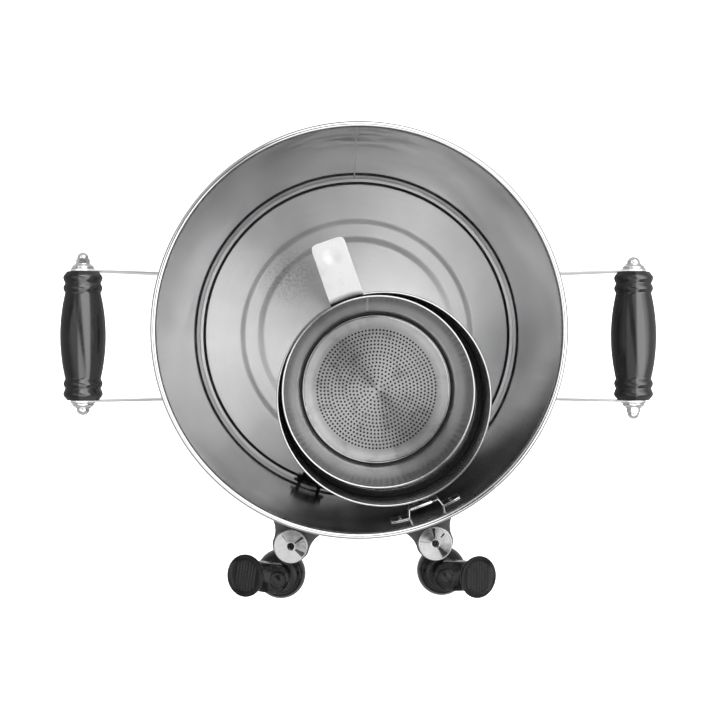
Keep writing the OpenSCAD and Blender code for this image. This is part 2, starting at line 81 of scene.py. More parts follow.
def oval(cx, cz, rx, rz, a0, a1, n):
    return [(cx + rx * math.cos(math.radians(a0 + (a1 - a0) * i / n)), cz + rz * math.sin(math.radians(a0 + (a1 - a0) * i / n))) for i in range(n + 1)]


def smoothstep(t):
    t = max(0.0, min(1.0, t))
    return t * t * (3 - 2 * t)


def soften(pts, rounds=2):
    """Cuts the corners of an open line of points, keeping its two ends."""
    for _ in range(rounds):
        out = [pts[0]]
        for p, q in zip(pts, pts[1:]):
            out.append((p[0] * 0.75 + q[0] * 0.25, p[1] * 0.75 + q[1] * 0.25))
            out.append((p[0] * 0.25 + q[0] * 0.75, p[1] * 0.25 + q[1] * 0.75))
        out.append(pts[-1])
        pts = out
    return pts


def steps(p, q, n):
    return [(p[0] + (q[0] - p[0]) * i / n, p[1] + (q[1] - p[1]) * i / n) for i in range(n + 1)]


def link(name, me):
    ob = bpy.data.objects.new(name, me)
    bpy.context.scene.collection.objects.link(ob)
    return ob


def new_object(name, verts, faces, place=None):
    me = bpy.data.meshes.new(name)
    me.from_pydata([Vector(v) * 0.001 for v in verts], [], faces)
    me.validate()
    bm = bmesh.new()
    bm.from_mesh(me)
    bmesh.ops.remove_doubles(bm, verts=bm.verts, dist=1e-7)
    bmesh.ops.recalc_face_normals(bm, faces=bm.faces)
    bm.to_mesh(me)
    bm.free()
    if place is not None:
        me.transform(place)
        if place.determinant() < 0:
            me.flip_normals()
    return link(name, me)


def discard(ob):
    me = ob.data
    bpy.data.objects.remove(ob)
    bpy.data.meshes.remove(me)


def join(name, obs):
    bm = bmesh.new()
    for o in obs:
        bm.from_mesh(o.data)
    me = bpy.data.meshes.new(name)
    bm.to_mesh(me)
    bm.free()
    for o in obs:
        discard(o)
    return link(name, me)


def apply_modifiers(ob):
    dg = bpy.context.evaluated_depsgraph_get()
    me = bpy.data.meshes.new_from_object(ob.evaluated_get(dg))
    ob.modifiers.clear()
    old = ob.data
    ob.data = me
    bpy.data.meshes.remove(old)
    return ob


def bevel(ob, width, segments=3, angle=30.0, apply=True):
    m = ob.modifiers.new("edges", "BEVEL")
    m.width = width * 0.001
    m.segments = segments
    m.limit_method = "ANGLE"
    m.angle_limit = math.radians(angle)
    m.harden_normals = False
    return apply_modifiers(ob) if apply else ob


def boolean(ob, cutter, operation="DIFFERENCE"):
    m = ob.modifiers.new("cut", "BOOLEAN")
    m.operation = operation
    m.solver = "EXACT"
    m.object = cutter
    apply_modifiers(ob)
    discard(cutter)
    return ob


def remesh(ob, voxel, rounds=4, factor=0.5):
    m = ob.modifiers.new("skin", "REMESH")
    m.mode = "VOXEL"
    m.voxel_size = voxel * 0.001
    m.adaptivity = 0.0
    if rounds:
        s = ob.modifiers.new("soften", "SMOOTH")
        s.factor = factor
        s.iterations = rounds
    return apply_modifiers(ob)


def finish_mesh(ob, mat, body, replaced=(), sharp=35.0):
    me = ob.data
    for p in me.polygons:
        p.use_smooth = True
    me.set_sharp_from_angle(angle=math.radians(sharp))
    me.materials.clear()
    me.materials.append(mat)
    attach(ob, body)
    if replaced:
        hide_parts(*replaced)
    return ob


def second_material(ob, mat, test):
    """Gives the faces whose centre passes the test a second material."""
    ob.data.materials.append(mat)
    k = len(ob.data.materials) - 1
    for p in ob.data.polygons:
        if test(p.center * 1000.0):
            p.material_index = k


def lathe_data(profile, n):
    """Closed solid of revolution about Z from a closed loop of (r, z) points."""
    verts, rings, faces = [], [], []
    for r, z in profile:
        if r < 1e-6:
            rings.append([len(verts)])
            verts.append((0.0, 0.0, z))
        else:
            rings.append(list(range(len(verts), len(verts) + n)))
            verts += [(r * math.cos(2 * math.pi * i / n), r * math.sin(2 * math.pi * i / n), z) for i in range(n)]
    m = len(rings)
    for k in range(m):
        a, b = rings[k], rings[(k + 1) % m]
        if len(a) == 1 and len(b) == 1:
            continue
        for i in range(n):
            j = (i + 1) % n
            if len(a) == 1:
                faces.append((a[0], b[j], b[i]))
            elif len(b) == 1:
                faces.append((a[i], a[j], b[0]))
            else:
                faces.append((a[i], a[j], b[j], b[i]))
    return verts, faces


def lathe(name, profile, n=192, place=None):
    v, f = lathe_data(profile, n)
    return new_object(name, v, f, place)


def sector(name, profile, a0, a1, n, place=None):
    """Part of a turn of a closed (r, z) loop, with flat ends."""
    m = len(profile)
    verts, faces = [], []
    for i in range(n + 1):
        a = a0 + (a1 - a0) * i / n
        verts += [(r * math.cos(a), r * math.sin(a), z) for r, z in profile]
    for i in range(n):
        for k in range(m):
            j = (k + 1) % m
            faces.append((i * m + k, i * m + j, (i + 1) * m + j, (i + 1) * m + k))
    faces.append(tuple(range(m)))
    faces.append(tuple(range(n * m + m - 1, n * m - 1, -1)))
    return new_object(name, verts, faces, place)


def loft(name, rings, place=None):
    n = len(rings[0])
    verts = [p for ring in rings for p in ring]
    faces = []
    for k in range(len(rings) - 1):
        for i in range(n):
            j = (i + 1) % n
            faces.append((k * n + i, k * n + j, (k + 1) * n + j, (k + 1) * n + i))
    faces.append(tuple(range(n - 1, -1, -1)))
    faces.append(tuple(range((len(rings) - 1) * n, len(rings) * n)))
    return new_object(name, verts, faces, place)


def extrude_outline(name, pts, z0, z1, place=None):
    n = len(pts)
    verts = [(p[0], p[1], z0) for p in pts] + [(p[0], p[1], z1) for p in pts]
    faces = [tuple(range(n - 1, -1, -1)), tuple(range(n, 2 * n))]
    faces += [(i, (i + 1) % n, n + (i + 1) % n, n + i) for i in range(n)]
    return new_object(name, verts, faces, place)


def corner(a, b, c, r, n):
    """Points of a round corner at b."""
    d1, d2 = a - b, c - b
    l1, l2 = d1.length, d2.length
    d1.normalize()
    d2.normalize()
    ang = d1.angle(d2)
    if r <= 0 or ang > math.radians(177):
        return [b]
    t = min(r / math.tan(ang / 2), 0.48 * l1, 0.48 * l2)
    rr = t * math.tan(ang / 2)
    p1, p2 = b + d1 * t, b + d2 * t
    cen = b + (d1 + d2).normalized() * (rr / math.sin(ang / 2))
    a1 = math.atan2(p1.y - cen.y, p1.x - cen.x)
    a2 = math.atan2(p2.y - cen.y, p2.x - cen.x)
    da = (a2 - a1 + math.pi) % (2 * math.pi) - math.pi
    return [cen + Vector((math.cos(a1 + da * i / n), math.sin(a1 + da * i / n))) * rr for i in range(n + 1)]


def round_path(pts, r, n=6):
    pts = [Vector((p[0], p[1])) for p in pts]
    out = [pts[0]]
    for a, b, c in zip(pts, pts[1:], pts[2:]):
        out += corner(a, b, c, r, n)
    return out + [pts[-1]]


def round_loop(pts, r, n=5):
    pts = [Vector((p[0], p[1])) for p in pts]
    out = []
    for i in range(len(pts)):
        out += corner(pts[i - 1], pts[i], pts[(i + 1) % len(pts)], r, n)
    return [(p.x, p.y) for p in out]


def sheet_outline(path, t):
    """Outline of a bent sheet of thickness t along the middle line path."""
    left, right = [], []
    for i, p in enumerate(path):
        if i == 0:
            d = (path[1] - p).normalized()
            e = d
        elif i == len(path) - 1:
            d = (p - path[-2]).normalized()
            e = d
        else:
            e = (p - path[i - 1]).normalized()
            d = ((path[i + 1] - p).normalized() + e).normalized()
        nrm = Vector((-d.y, d.x))
        k = 1 / max(0.35, nrm.dot(Vector((-e.y, e.x))))
        left.append(p + nrm * (t / 2 * k))
        right.append(p - nrm * (t / 2 * k))
    return [(v.x, v.y) for v in left + right[::-1]]


def hexagon(a, n, turn=0.0):
    """Radius of a hexagon with inner radius a, at n angles with its corners among them."""
    out = []
    for i in range(n):
        phi = 2 * math.pi * i / n
        q = (phi + math.pi / 6) % (math.pi / 3) - math.pi / 6
        out.append((phi + turn, a / math.cos(math.pi / 6 - abs(q))))
    return out


def hex_nut(name, corner_r, h, bore, place, dome=None, both=False, n=72):
    """Hexagonal nut with turned corners about Z, from z = 0 to h, with a bore or a domed end."""
    a = corner_r * math.cos(math.pi / 6)
    hx = hexagon(a, n)
    drop = math.tan(math.radians(30))

    def ring(fr, fz):
        return [(fr(r) * math.cos(p), fr(r) * math.sin(p), fz(r)) for p, r in hx]

    low = [ring(lambda r: bore, lambda r: 0.0)]
    if both:
        low += [ring(lambda r: a - 0.25, lambda r: 0.0), ring(lambda r: r, lambda r: (r - a + 0.25) * drop)]
    else:
        low += [ring(lambda r: r - 0.12, lambda r: 0.0), ring(lambda r: r, lambda r: 0.12)]
    rings = low + [ring(lambda r: r, lambda r: h - (r - a + 0.25) * drop), ring(lambda r: a - 0.25, lambda r: h)]
    if dome:
        dr, dz = dome
        rings += [ring(lambda r: dr + 0.25, lambda r: h + 0.05), ring(lambda r: dr, lambda r: h + 0.35)]
        for i in range(1, 12):
            t = math.radians(90 * i / 12)
            rings.append(ring(lambda r, t=t: dr * math.cos(t), lambda r, t=t: h + 0.8 + (dz - 0.8) * math.sin(t)))
        return loft(name, rings, place)
    rings += [ring(lambda r: bore + 0.5, lambda r: h), ring(lambda r: bore, lambda r: h - 0.5)]
    m = len(rings)
    verts = [p for r in rings for p in r]
    faces = []
    for k in range(m):
        for i in range(n):
            j = (i + 1) % n
            kk = (k + 1) % m
            faces.append((k * n + i, k * n + j, kk * n + j, kk * n + i))
    return new_object(name, verts, faces, place)


def weld_bead(name, p0, p1, r, pitch, seed, place=None):
    """A hand-laid weld: a slim rounded ridge with overlapping ripples."""
    p0, p1 = Vector(p0), Vector(p1)
    d = p1 - p0
    length = d.length
    d.normalize()
    u = d.orthogonal().normalized()
    v = d.cross(u)
    m = max(12, int(length / 0.45))
    rings = []
    for i in range(m + 1):
        s = i / m
        q = 0.84 + 0.1 * abs(math.sin(math.pi * s * length / pitch)) + 0.08 * mnoise.noise(Vector((s * 7.0, seed * 3.1, 0.0)))
        q *= min(1.0, 0.25 + 6 * min(s, 1 - s))
        c = p0 + d * (length * s)
        rings.append([tuple(c + (u * math.cos(2 * math.pi * k / 12) + v * math.sin(2 * math.pi * k / 12)) * (r * q)) for k in range(12)])
    return loft(name, rings, place)


def move(x, y, z=0.0):
    return Matrix.Translation((x * 0.001, y * 0.001, z * 0.001))


RX90 = Matrix.Rotation(math.pi / 2, 4, "X")
RY90 = Matrix.Rotation(math.pi / 2, 4, "Y")
FLIP_X = Matrix.Scale(-1, 4, (1, 0, 0))


def side(s):
    return FLIP_X if s < 0 else Matrix.Identity(4)


def at_tap(s):
    """Frame on a tap's vertical axis, x away from the tank."""
    return Matrix.Rotation(TAP_TURN, 4, "Z") @ side(s) @ Matrix.Rotation(TAP_ANG - math.pi / 2, 4, "Z") @ move(TAP_AT, 0)


def at_lever(s):
    """Frame on a tap's vertical axis, x along the lever."""
    a = s * TAP_ANG + TAP_TURN
    turn = Matrix.Rotation(LEFT_TURN if s < 0 else 0.0, 4, "Z")
    return move(TAP_AT * math.sin(a), -TAP_AT * math.cos(a)) @ turn @ side(s)


def along_x(name, profile, n, place):
    """Lathe about the x axis from a closed loop of (r, x) points."""
    return lathe(name, profile, n, place @ RY90)


def ripple(ob, f):
    """Moves each vertex by f(point), in millimetres."""
    for v in ob.data.vertices:
        v.co = v.co + Vector(f(v.co * 1000.0)) * 0.001


# ------------------------------------------------------------------ material helpers
def material(name):
    m = bpy.data.materials.new(name)
    m.use_nodes = True
    nt = m.node_tree
    nt.nodes.clear()
    out = nt.nodes.new("ShaderNodeOutputMaterial")
    bs = nt.nodes.new("ShaderNodeBsdfPrincipled")
    nt.links.new(bs.outputs[0], out.inputs[0])
    return m, nt, bs


def add(nt, kind, **props):
    n = nt.nodes.new(kind)
    for k, v in props.items():
        setattr(n, k, v)
    return n


def noise(nt, vec, scale, detail=2.0, rough=0.5):
    n = add(nt, "ShaderNodeTexNoise")
    n.inputs["Scale"].default_value = scale
    n.inputs["Detail"].default_value = detail
    n.inputs["Roughness"].default_value = rough
    nt.links.new(vec, n.inputs["Vector"])
    return n.outputs["Fac"]


def ramp(nt, fac, stops):
    n = add(nt, "ShaderNodeValToRGB")
    el = n.color_ramp.elements
    while len(el) < len(stops):
        el.new(0.5)
    for e, (p, c) in zip(el, stops):
        e.position = p
        e.color = (c, c, c, 1) if isinstance(c, (int, float)) else (*c, 1)
    nt.links.new(fac, n.inputs["Fac"])
    return n.outputs["Color"]


def maths(nt, op, a, b=None, clamp=False):
    n = add(nt, "ShaderNodeMath", operation=op, use_clamp=clamp)
    for i, x in enumerate((a, b)):
        if x is None:
            continue
        if isinstance(x, (int, float)):
            n.inputs[i].default_value = x
        else:
            nt.links.new(x, n.inputs[i])
    return n.outputs[0]


def spread(nt, fac, lo, hi, a=0.0, b=1.0):
    n = add(nt, "ShaderNodeMapRange")
    n.inputs["From Min"].default_value = a
    n.inputs["From Max"].default_value = b
    n.inputs["To Min"].default_value = lo
    n.inputs["To Max"].default_value = hi
    nt.links.new(fac, n.inputs["Value"])
    return n.outputs[0]


def bump(nt, bs, *layers):
    """Layers of (height, strength, distance), the coarsest first."""
    last = None
    for height, strength, dist in layers:
        n = add(nt, "ShaderNodeBump")
        n.inputs["Strength"].default_value = strength
        n.inputs["Distance"].default_value = dist
        nt.links.new(height, n.inputs["Height"])
        if last is not None:
            nt.links.new(last, n.inputs["Normal"])
        last = n.outputs[0]
    nt.links.new(last, bs.inputs["Normal"])


def object_coords(nt, centre=(0, 0), scale=(1, 1, 1)):
    tc = add(nt, "ShaderNodeTexCoord")
    mp = add(nt, "ShaderNodeMapping")
    mp.inputs["Location"].default_value = (-centre[0] * 0.001 * scale[0], -centre[1] * 0.001 * scale[1], 0)
    mp.inputs["Scale"].default_value = scale
    nt.links.new(tc.outputs["Object"], mp.inputs["Vector"])
    return mp.outputs[0]


def polar(nt, centre=(0, 0)):
    """(radius, x, y, z) of a point about a vertical axis, in metres."""
    v = object_coords(nt, centre)
    s = add(nt, "ShaderNodeSeparateXYZ")
    nt.links.new(v, s.inputs[0])
    x, y, z = s.outputs
    r2 = maths(nt, "ADD", maths(nt, "MULTIPLY", x, x), maths(nt, "MULTIPLY", y, y))
    return maths(nt, "SQRT", r2), x, y, z


def scaled(nt, x, y, z):
    """Vector from (socket, factor) pairs."""
    n = add(nt, "ShaderNodeCombineXYZ")
    for i, (v, k) in enumerate((x, y, z)):
        nt.links.new(maths(nt, "MULTIPLY", v, k), n.inputs[i])
    return n.outputs[0]


def grey_colour(nt, value, blue=1.005):
    n = add(nt, "ShaderNodeCombineColor")
    nt.links.new(value, n.inputs[0])
    nt.links.new(value, n.inputs[1])
    nt.links.new(maths(nt, "MULTIPLY", value, blue), n.inputs[2])
    return n.outputs[0]


def radial_grain(nt, bs, amount):
    """Sheen drawn out across rings or hoops that run round the Z axis."""
    bs.inputs["Anisotropic"].default_value = amount
    bs.inputs["Anisotropic Rotation"].default_value = 0.25
    tg = add(nt, "ShaderNodeTangent", direction_type="RADIAL", axis="Z")
    nt.links.new(tg.outputs[0], bs.inputs["Tangent"])


def sheet_steel(name, tone, rough, centre=(0, 0), mode="wall", streak=0.03, blotch=0.05, aniso=0.5, fine=0.00002, wave=0.0001, stain=0.0, heat=False, marks_and_shade_patches=(), tint=1.0, painted_shadow_pools=(), metal=1.0, painted_light_bands=(), crisp=None, field=None, inner=None):
    """Rolled stainless sheet: fine lines along the rolling direction, soft blotches, wipe marks and a varied sheen."""
    m, nt, bs = material(name)
    rad, x, y, z = polar(nt, centre)
    if mode == "wall":      # rolling lines round the wall, wipe marks up and down it
        lines = scaled(nt, (x, 16.0), (y, 16.0), (z, 950.0))
        marks = scaled(nt, (x, 95.0), (y, 95.0), (z, 2.4))
        broad = scaled(nt, (x, 13.0), (y, 13.0), (z, 6.0))
    elif mode == "spun":    # rings on a spun or pressed face
        lines = scaled(nt, (x, 14.0), (y, 14.0), (rad, 1500.0))
        marks = scaled(nt, (x, 55.0), (y, 55.0), (rad, 12.0))
        broad = scaled(nt, (x, 15.0), (y, 15.0), (z, 10.0))
    else:                   # straight rolling lines
        lines = scaled(nt, (x, 1400.0), (y, 26.0), (z, 26.0))
        marks = scaled(nt, (x, 130.0), (y, 20.0), (z, 130.0))
        broad = scaled(nt, (x, 20.0), (y, 20.0), (z, 20.0))
    f_lines = noise(nt, lines, 1.0, 3.0, 0.6)
    f_marks = noise(nt, marks, 1.0, 3.0, 0.55)
    f_broad = noise(nt, broad, 1.0, 4.0, 0.55)
    shade = maths(nt, "ADD", spread(nt, f_lines, -streak, streak, 0.25, 0.75), spread(nt, f_broad, -blotch, blotch, 0.25, 0.75))
    shade = maths(nt, "ADD", shade, spread(nt, f_marks, -0.6 * streak, 0.6 * streak, 0.25, 0.75))
    if stain > 0:
        spots = noise(nt, scaled(nt, (x, 85.0), (y, 85.0), (z, 85.0)), 1.0, 5.0, 0.62)
        shade = maths(nt, "ADD", shade, spread(nt, spots, 0.0, -stain, 0.52, 0.72))
    if heat:                # drawn-out dark marks beside the weld at the back
        near = maths(nt, "MULTIPLY", spread(nt, maths(nt, "ABSOLUTE", maths(nt, "ADD", x, 0.008)), 1.0, 0.0, 0.010, 0.075), spread(nt, y, 0.0, 1.0, 0.10, 0.13))
        near = maths(nt, "MULTIPLY", near, maths(nt, "MULTIPLY", spread(nt, z, 0.12, 1.0, 0.28, 0.37), spread(nt, rad, 1.0, 0.12, (WALL_RI + 0.25) * 0.001, (WALL_RI + 0.6) * 0.001)))
        drawn = noise(nt, scaled(nt, (x, 22.0), (y, 22.0), (z, 62.0)), 1.0, 4.0, 0.6)
        marked = maths(nt, "MULTIPLY", near, spread(nt, drawn, 0.0, 0.6, 0.46, 0.59))
        shade = maths(nt, "SUBTRACT", shade, maths(nt, "MULTIPLY", marked, 0.45))
    for px, py, pr, amount, size in marks_and_shade_patches:    # dried water marks, and patches of painted shade
        away = polar(nt, (px, py))[0]
        spots = noise(nt, scaled(nt, (x, size), (y, size), (z, 1.0)), 1.0, 3.0, 0.6)
        soft = spread(nt, away, 1.0, 0.0, 0.0, pr * 0.001)
        shade = maths(nt, "SUBTRACT", shade, maths(nt, "MULTIPLY", soft, spread(nt, spots, 0.15 * amount, amount, 0.42, 0.62)))
    for tx, ty, tr, amount in painted_shadow_pools:      # painted shadow under the infuser
        away = polar(nt, (tx, ty))[0]
        shade = maths(nt, "SUBTRACT", shade, spread(nt, maths(nt, "ADD", away, spread(nt, f_broad, -0.008, 0.008)), amount, 0.0, tr * 0.00084, tr * 0.001))
    for z0, z1, d0, d1 in painted_light_bands:    # painted light and shade that change with height
        step = spread(nt, z, d0, d1, z0 * 0.001, z1 * 0.001)
        if inner:           # only on the inside face
            step = maths(nt, "MULTIPLY", step, spread(nt, rad, 1.0, 0.0, (inner + 0.1) * 0.001, (inner + 0.35) * 0.001))
        shade = maths(nt, "ADD", shade, step)
    if field:               # darker inside a radius about the centre: over the screen's perforated field, and as painted shadow on the tab beside the cup's rim
        shade = maths(nt, "SUBTRACT", shade, spread(nt, maths(nt, "ADD", rad, spread(nt, f_broad, -0.004, 0.004)), field[1], 0.0, field[0] * 0.001, field[0] * 0.001 + 0.004))
    value = maths(nt, "MAXIMUM", maths(nt, "ADD", shade, tone, clamp=True), 0.02)
    nt.links.new(grey_colour(nt, value), bs.inputs["Base Color"])
    bs.inputs["Metallic"].default_value = metal
    bs.inputs["Specular Tint"].default_value = (tint, tint, tint, 1)
    if heat:                # the same marks and blotches where the wall is seen along its face
        along = maths(nt, "ADD", spread(nt, f_broad, tint - 0.18, tint + 0.12, 0.34, 0.62), spread(nt, f_lines, -0.03, 0.03, 0.25, 0.75))
        nt.links.new(grey_colour(nt, maths(nt, "SUBTRACT", along, marked, clamp=True)), bs.inputs["Specular Tint"])
    r = maths(nt, "ADD", spread(nt, f_broad, -0.035, 0.035, 0.25, 0.75), spread(nt, f_lines, rough - 0.03, rough + 0.03, 0.25, 0.75))
    r = maths(nt, "ADD", r, spread(nt, f_marks, -0.025, 0.04, 0.25, 0.75), clamp=True)
    if crisp:               # mill polish low down, where the sheet was never scoured
        fade = spread(nt, z, 0.0, 1.0, crisp[0] * 0.001, crisp[1] * 0.001)
        r = maths(nt, "MULTIPLY", r, spread(nt, fade, 0.35, 1.0))
        f_lines = maths(nt, "MULTIPLY", f_lines, fade)
    nt.links.new(r, bs.inputs["Roughness"])
    bump(nt, bs, (f_broad, 0.5, wave), (f_lines, 0.3, fine))
    if aniso > 0:
        radial_grain(nt, bs, aniso)
    return m


def bright_metal(name, tone=0.8, rough=0.14, scale=400.0):
    """Polished metal with hairline wear and fine pitting."""
    m, nt, bs = material(name)
    v = object_coords(nt)
    f = noise(nt, v, scale, 3.0, 0.6)
    g = noise(nt, v, 90.0, 4.0, 0.6)
    nt.links.new(ramp(nt, f, [(0.3, (tone - 0.06, tone - 0.06, tone - 0.055)), (0.7, (tone, tone, tone + 0.005))]), bs.inputs["Base Color"])
    bs.inputs["Metallic"].default_value = 1.0
    nt.links.new(maths(nt, "ADD", spread(nt, f, rough - 0.04, rough + 0.04, 0.25, 0.75), spread(nt, g, -0.03, 0.05, 0.3, 0.7), clamp=True), bs.inputs["Roughness"])
    bump(nt, bs, (g, 0.1, 0.00008), (f, 0.12, 0.00002))
    return m


def turned_metal(name, tone, rough, amount, painted_dark_fans=()):
    """Faced on a lathe: fine rings, a sheen that spreads out from the centre and painted dark reflection wedges."""
    m, nt, bs = material(name)
    tc = add(nt, "ShaderNodeTexCoord")
    mp = add(nt, "ShaderNodeMapping")
    mp.inputs["Location"].default_value = (-0.5, -0.5, 0)
    nt.links.new(tc.outputs["Generated"], mp.inputs["Vector"])
    s = add(nt, "ShaderNodeSeparateXYZ")
    nt.links.new(mp.outputs[0], s.inputs[0])
    x, y, z = s.outputs
    rad = maths(nt, "SQRT", maths(nt, "ADD", maths(nt, "MULTIPLY", x, x), maths(nt, "MULTIPLY", y, y)))
    rings = noise(nt, scaled(nt, (x, 2.0), (y, 2.0), (rad, 170.0)), 1.0, 3.0, 0.65)
    soft = noise(nt, scaled(nt, (x, 6.0), (y, 6.0), (z, 1.0)), 1.0, 2.0, 0.5)
    value = maths(nt, "ADD", spread(nt, rings, tone * 0.92, tone * 1.06, 0.25, 0.75), spread(nt, soft, -0.02, 0.02, 0.3, 0.7), clamp=True)
    ang = maths(nt, "ARCTAN2", y, x)
    for az, half, depth, r0, r1 in painted_dark_fans:    # painted dark reflection wedges on the turned face
        c = maths(nt, "COSINE", maths(nt, "SUBTRACT", maths(nt, "ADD", ang, spread(nt, rings, -0.03, 0.03)), math.radians(az)))
        f = spread(nt, c, 0.0, 1.0, math.cos(math.radians(half * 1.3)), math.cos(math.radians(half * 0.7)))
        f = maths(nt, "MULTIPLY", f, maths(nt, "MULTIPLY", spread(nt, rad, 0.0, 1.0, r0, r0 + 0.03), spread(nt, rad, 1.0, 0.0, r1 - 0.03, r1)))
        value = maths(nt, "MULTIPLY", value, spread(nt, f, 1.0, 1.0 - depth))
    nt.links.new(grey_colour(nt, value, 1.003), bs.inputs["Base Color"])
    bs.inputs["Metallic"].default_value = 1.0
    nt.links.new(maths(nt, "ADD", spread(nt, rings, rough - 0.04, rough + 0.04, 0.25, 0.75), spread(nt, soft, -0.02, 0.02, 0.3, 0.7)), bs.inputs["Roughness"])
    bump(nt, bs, (rings, 0.35, 0.00002))
    radial_grain(nt, bs, amount)
    return m


def moulded(name, lo, hi, rough, grain=1500.0, grain_d=0.00003, spec=0.5, scuff=0.05, edge=None, left_side_dimmed=None, dust=None):
    """Moulded plastic or rubber with a fine grain, light scuffs and a slightly uneven sheen."""
    m, nt, bs = material(name)
    v = object_coords(nt)
    f = noise(nt, v, 55.0, 4.0, 0.6)
    g = noise(nt, v, grain, 2.0, 0.5)
    sc = noise(nt, object_coords(nt, scale=(1.0, 0.25, 1.0)), 420.0, 3.0, 0.7)
    nt.links.new(ramp(nt, f, [(0.3, lo), (0.72, hi)]), bs.inputs["Base Color"])
    if dust is not None:    # fine dust that shows as a sheen where the surface turns away
        bs.inputs["Sheen Weight"].default_value = dust
        bs.inputs["Sheen Roughness"].default_value = 0.3
        bs.inputs["Sheen Tint"].default_value = (0.96, 0.98, 1.0, 1)
    r = maths(nt, "ADD", spread(nt, f, rough - 0.05, rough + 0.05, 0.25, 0.75), spread(nt, g, -0.03, 0.03, 0.25, 0.75))
    nt.links.new(maths(nt, "ADD", r, spread(nt, sc, 0.0, scuff, 0.55, 0.7), clamp=True), bs.inputs["Roughness"])
    bs.inputs["Specular IOR Level"].default_value = spec
    if edge is not None:    # a polish that is deepest where the surface faces the eye
        lw = add(nt, "ShaderNodeLayerWeight")
        lw.inputs["Blend"].default_value = 0.5
        polish = spread(nt, lw.outputs["Facing"], spec, edge * spec, 0.15, 0.85)
        if left_side_dimmed is not None:    # painted shade: the polish is cut on the side that faces left, dimming its reflection
            geo = add(nt, "ShaderNodeNewGeometry")
            sep = add(nt, "ShaderNodeSeparateXYZ")
            nt.links.new(geo.outputs["Normal"], sep.inputs[0])
            polish = maths(nt, "MULTIPLY", polish, spread(nt, sep.outputs[0], left_side_dimmed, 1.0, -0.10, 0.0))
        nt.links.new(polish, bs.inputs["Specular IOR Level"])
    bump(nt, bs, (f, 0.12, 0.00015), (g, 0.3, grain_d))
    return m


def glass_material():
    m, nt, bs = material("gauge_tube")
    v = object_coords(nt, scale=(1, 1, 0.06))
    f = noise(nt, v, 120.0, 2.0, 0.5)
    nt.links.new(ramp(nt, f, [(0.2, (0.93, 0.96, 0.955)), (0.8, (0.97, 0.985, 0.985))]), bs.inputs["Base Color"])
    nt.links.new(spread(nt, f, 0.01, 0.06), bs.inputs["Roughness"])
    bs.inputs["Transmission Weight"].default_value = 1.0
    bs.inputs["IOR"].default_value = 1.47
    return m


# ------------------------------------------------------------------ materials
# painted shade on the wall: a dark patch at its lower left, darker towards the rim, and a dark band just under the rim
M_WALL = sheet_steel("tank_sheet", 0.64, 0.11, mode="wall", streak=0.06, blotch=0.09, aniso=0.45, wave=0.0002, heat=True, tint=0.88, metal=0.92, marks_and_shade_patches=((-100, -108, 78, 0.22, 26.0),), painted_light_bands=((RIM_Z - 110, RIM_Z - 14, 0.0, -0.12), (RIM_Z - 12.5, RIM_Z - 9, 0.0, -0.34)), crisp=(FLOOR_Z + 50, FLOOR_Z + 95))
# painted shadow on the floor under the infuser, deepest near its middle
M_FLOOR = sheet_steel("floor_sheet", 0.88, 0.36, mode="spun", streak=0.03, blotch=0.06, aniso=0.94, wave=0.0002, marks_and_shade_patches=((-64, 56, 34, 0.34, 420.0), (60, 20, 26, 0.10, 300.0)), painted_shadow_pools=((24, -60, 91, 0.76), (19, -52, 72, 0.12)), metal=0.94)
# painted highlights: thin bright rings low on the sleeve's inside face
M_SLEEVE = sheet_steel("sleeve_sheet", 0.46, 0.12, HOLD_C, mode="wall", streak=0.03, blotch=0.04, aniso=0.3, tint=0.95, metal=0.9, painted_light_bands=((SLEEVE_BOT + 16, SLEEVE_BOT + 18, 0.0, 0.4), (SLEEVE_BOT + 22, SLEEVE_BOT + 24, 0.0, -0.4), (SLEEVE_BOT + 34, SLEEVE_BOT + 36, 0.0, 0.3), (SLEEVE_BOT + 39, SLEEVE_BOT + 41, 0.0, -0.3)), inner=SLEEVE_R - 0.8)
# painted light and shade: the cup lighter low down and darker towards its rim
M_CUP = sheet_steel("infuser_sheet", 0.46, 0.14, INF_C, mode="wall", streak=0.04, blotch=0.06, aniso=0.3, stain=0.14, tint=0.6, metal=0.92, painted_light_bands=((INF_BOT + 46, INF_BOT + 62, 0.18, -0.10),))
M_SCREEN = sheet_steel("screen_sheet", 0.37, 0.38, INF_C, mode="spun", streak=0.03, blotch=0.06, aniso=0.88, stain=0.10, field=(49.5, 0.10))
M_PLATE = sheet_steel("plate_sheet", 0.72, 0.2, mode="plain", streak=0.03, blotch=0.05, aniso=0.0)
M_EAR = sheet_steel("ear_sheet", 0.84, 0.42, mode="plain", streak=0.03, blotch=0.04, aniso=0.0)
# painted shadow on the tab beside the cup's rim, where it bends down
M_TAB = sheet_steel("tab_sheet", 0.43, 0.50, INF_C, mode="plain", streak=0.02, blotch=0.03, aniso=0.0, stain=0.06, field=(INF_R + 0.9, 0.39))
M_WELD = sheet_steel("weld_metal", 0.5, 0.34, mode="plain", streak=0.06, blotch=0.12, aniso=0.0, stain=0.12)
M_RIM = bright_metal("rim_polish", 0.50, 0.10)
M_BRIGHT = bright_metal("bright_metal", 0.62, 0.09)
# painted dark reflection wedges on each cap's face
M_CAP = {
    -1: turned_metal("turned_cap_left", 0.27, 0.2, 0.8, ((128, 2.2, 0.6, 0.15, 0.42), (37, 5.5, 0.85, 0.14, 0.46), (21, 1.6, 0.4, 0.3, 0.42), (-34, 10.0, 0.86, 0.14, 0.47))),
    1: turned_metal("turned_cap_right", 0.34, 0.2, 0.8, ((98, 6.0, 0.9, 0.14, 0.47), (49, 4.5, 0.85, 0.22, 0.40), (172, 1.8, 0.4, 0.16, 0.47), (-50, 12.0, 0.86, 0.14, 0.47)))}
M_BLACK = moulded("black_plastic", (0.004, 0.004, 0.0044), (0.007, 0.007, 0.0076), 0.17, spec=0.2, dust=0.22)
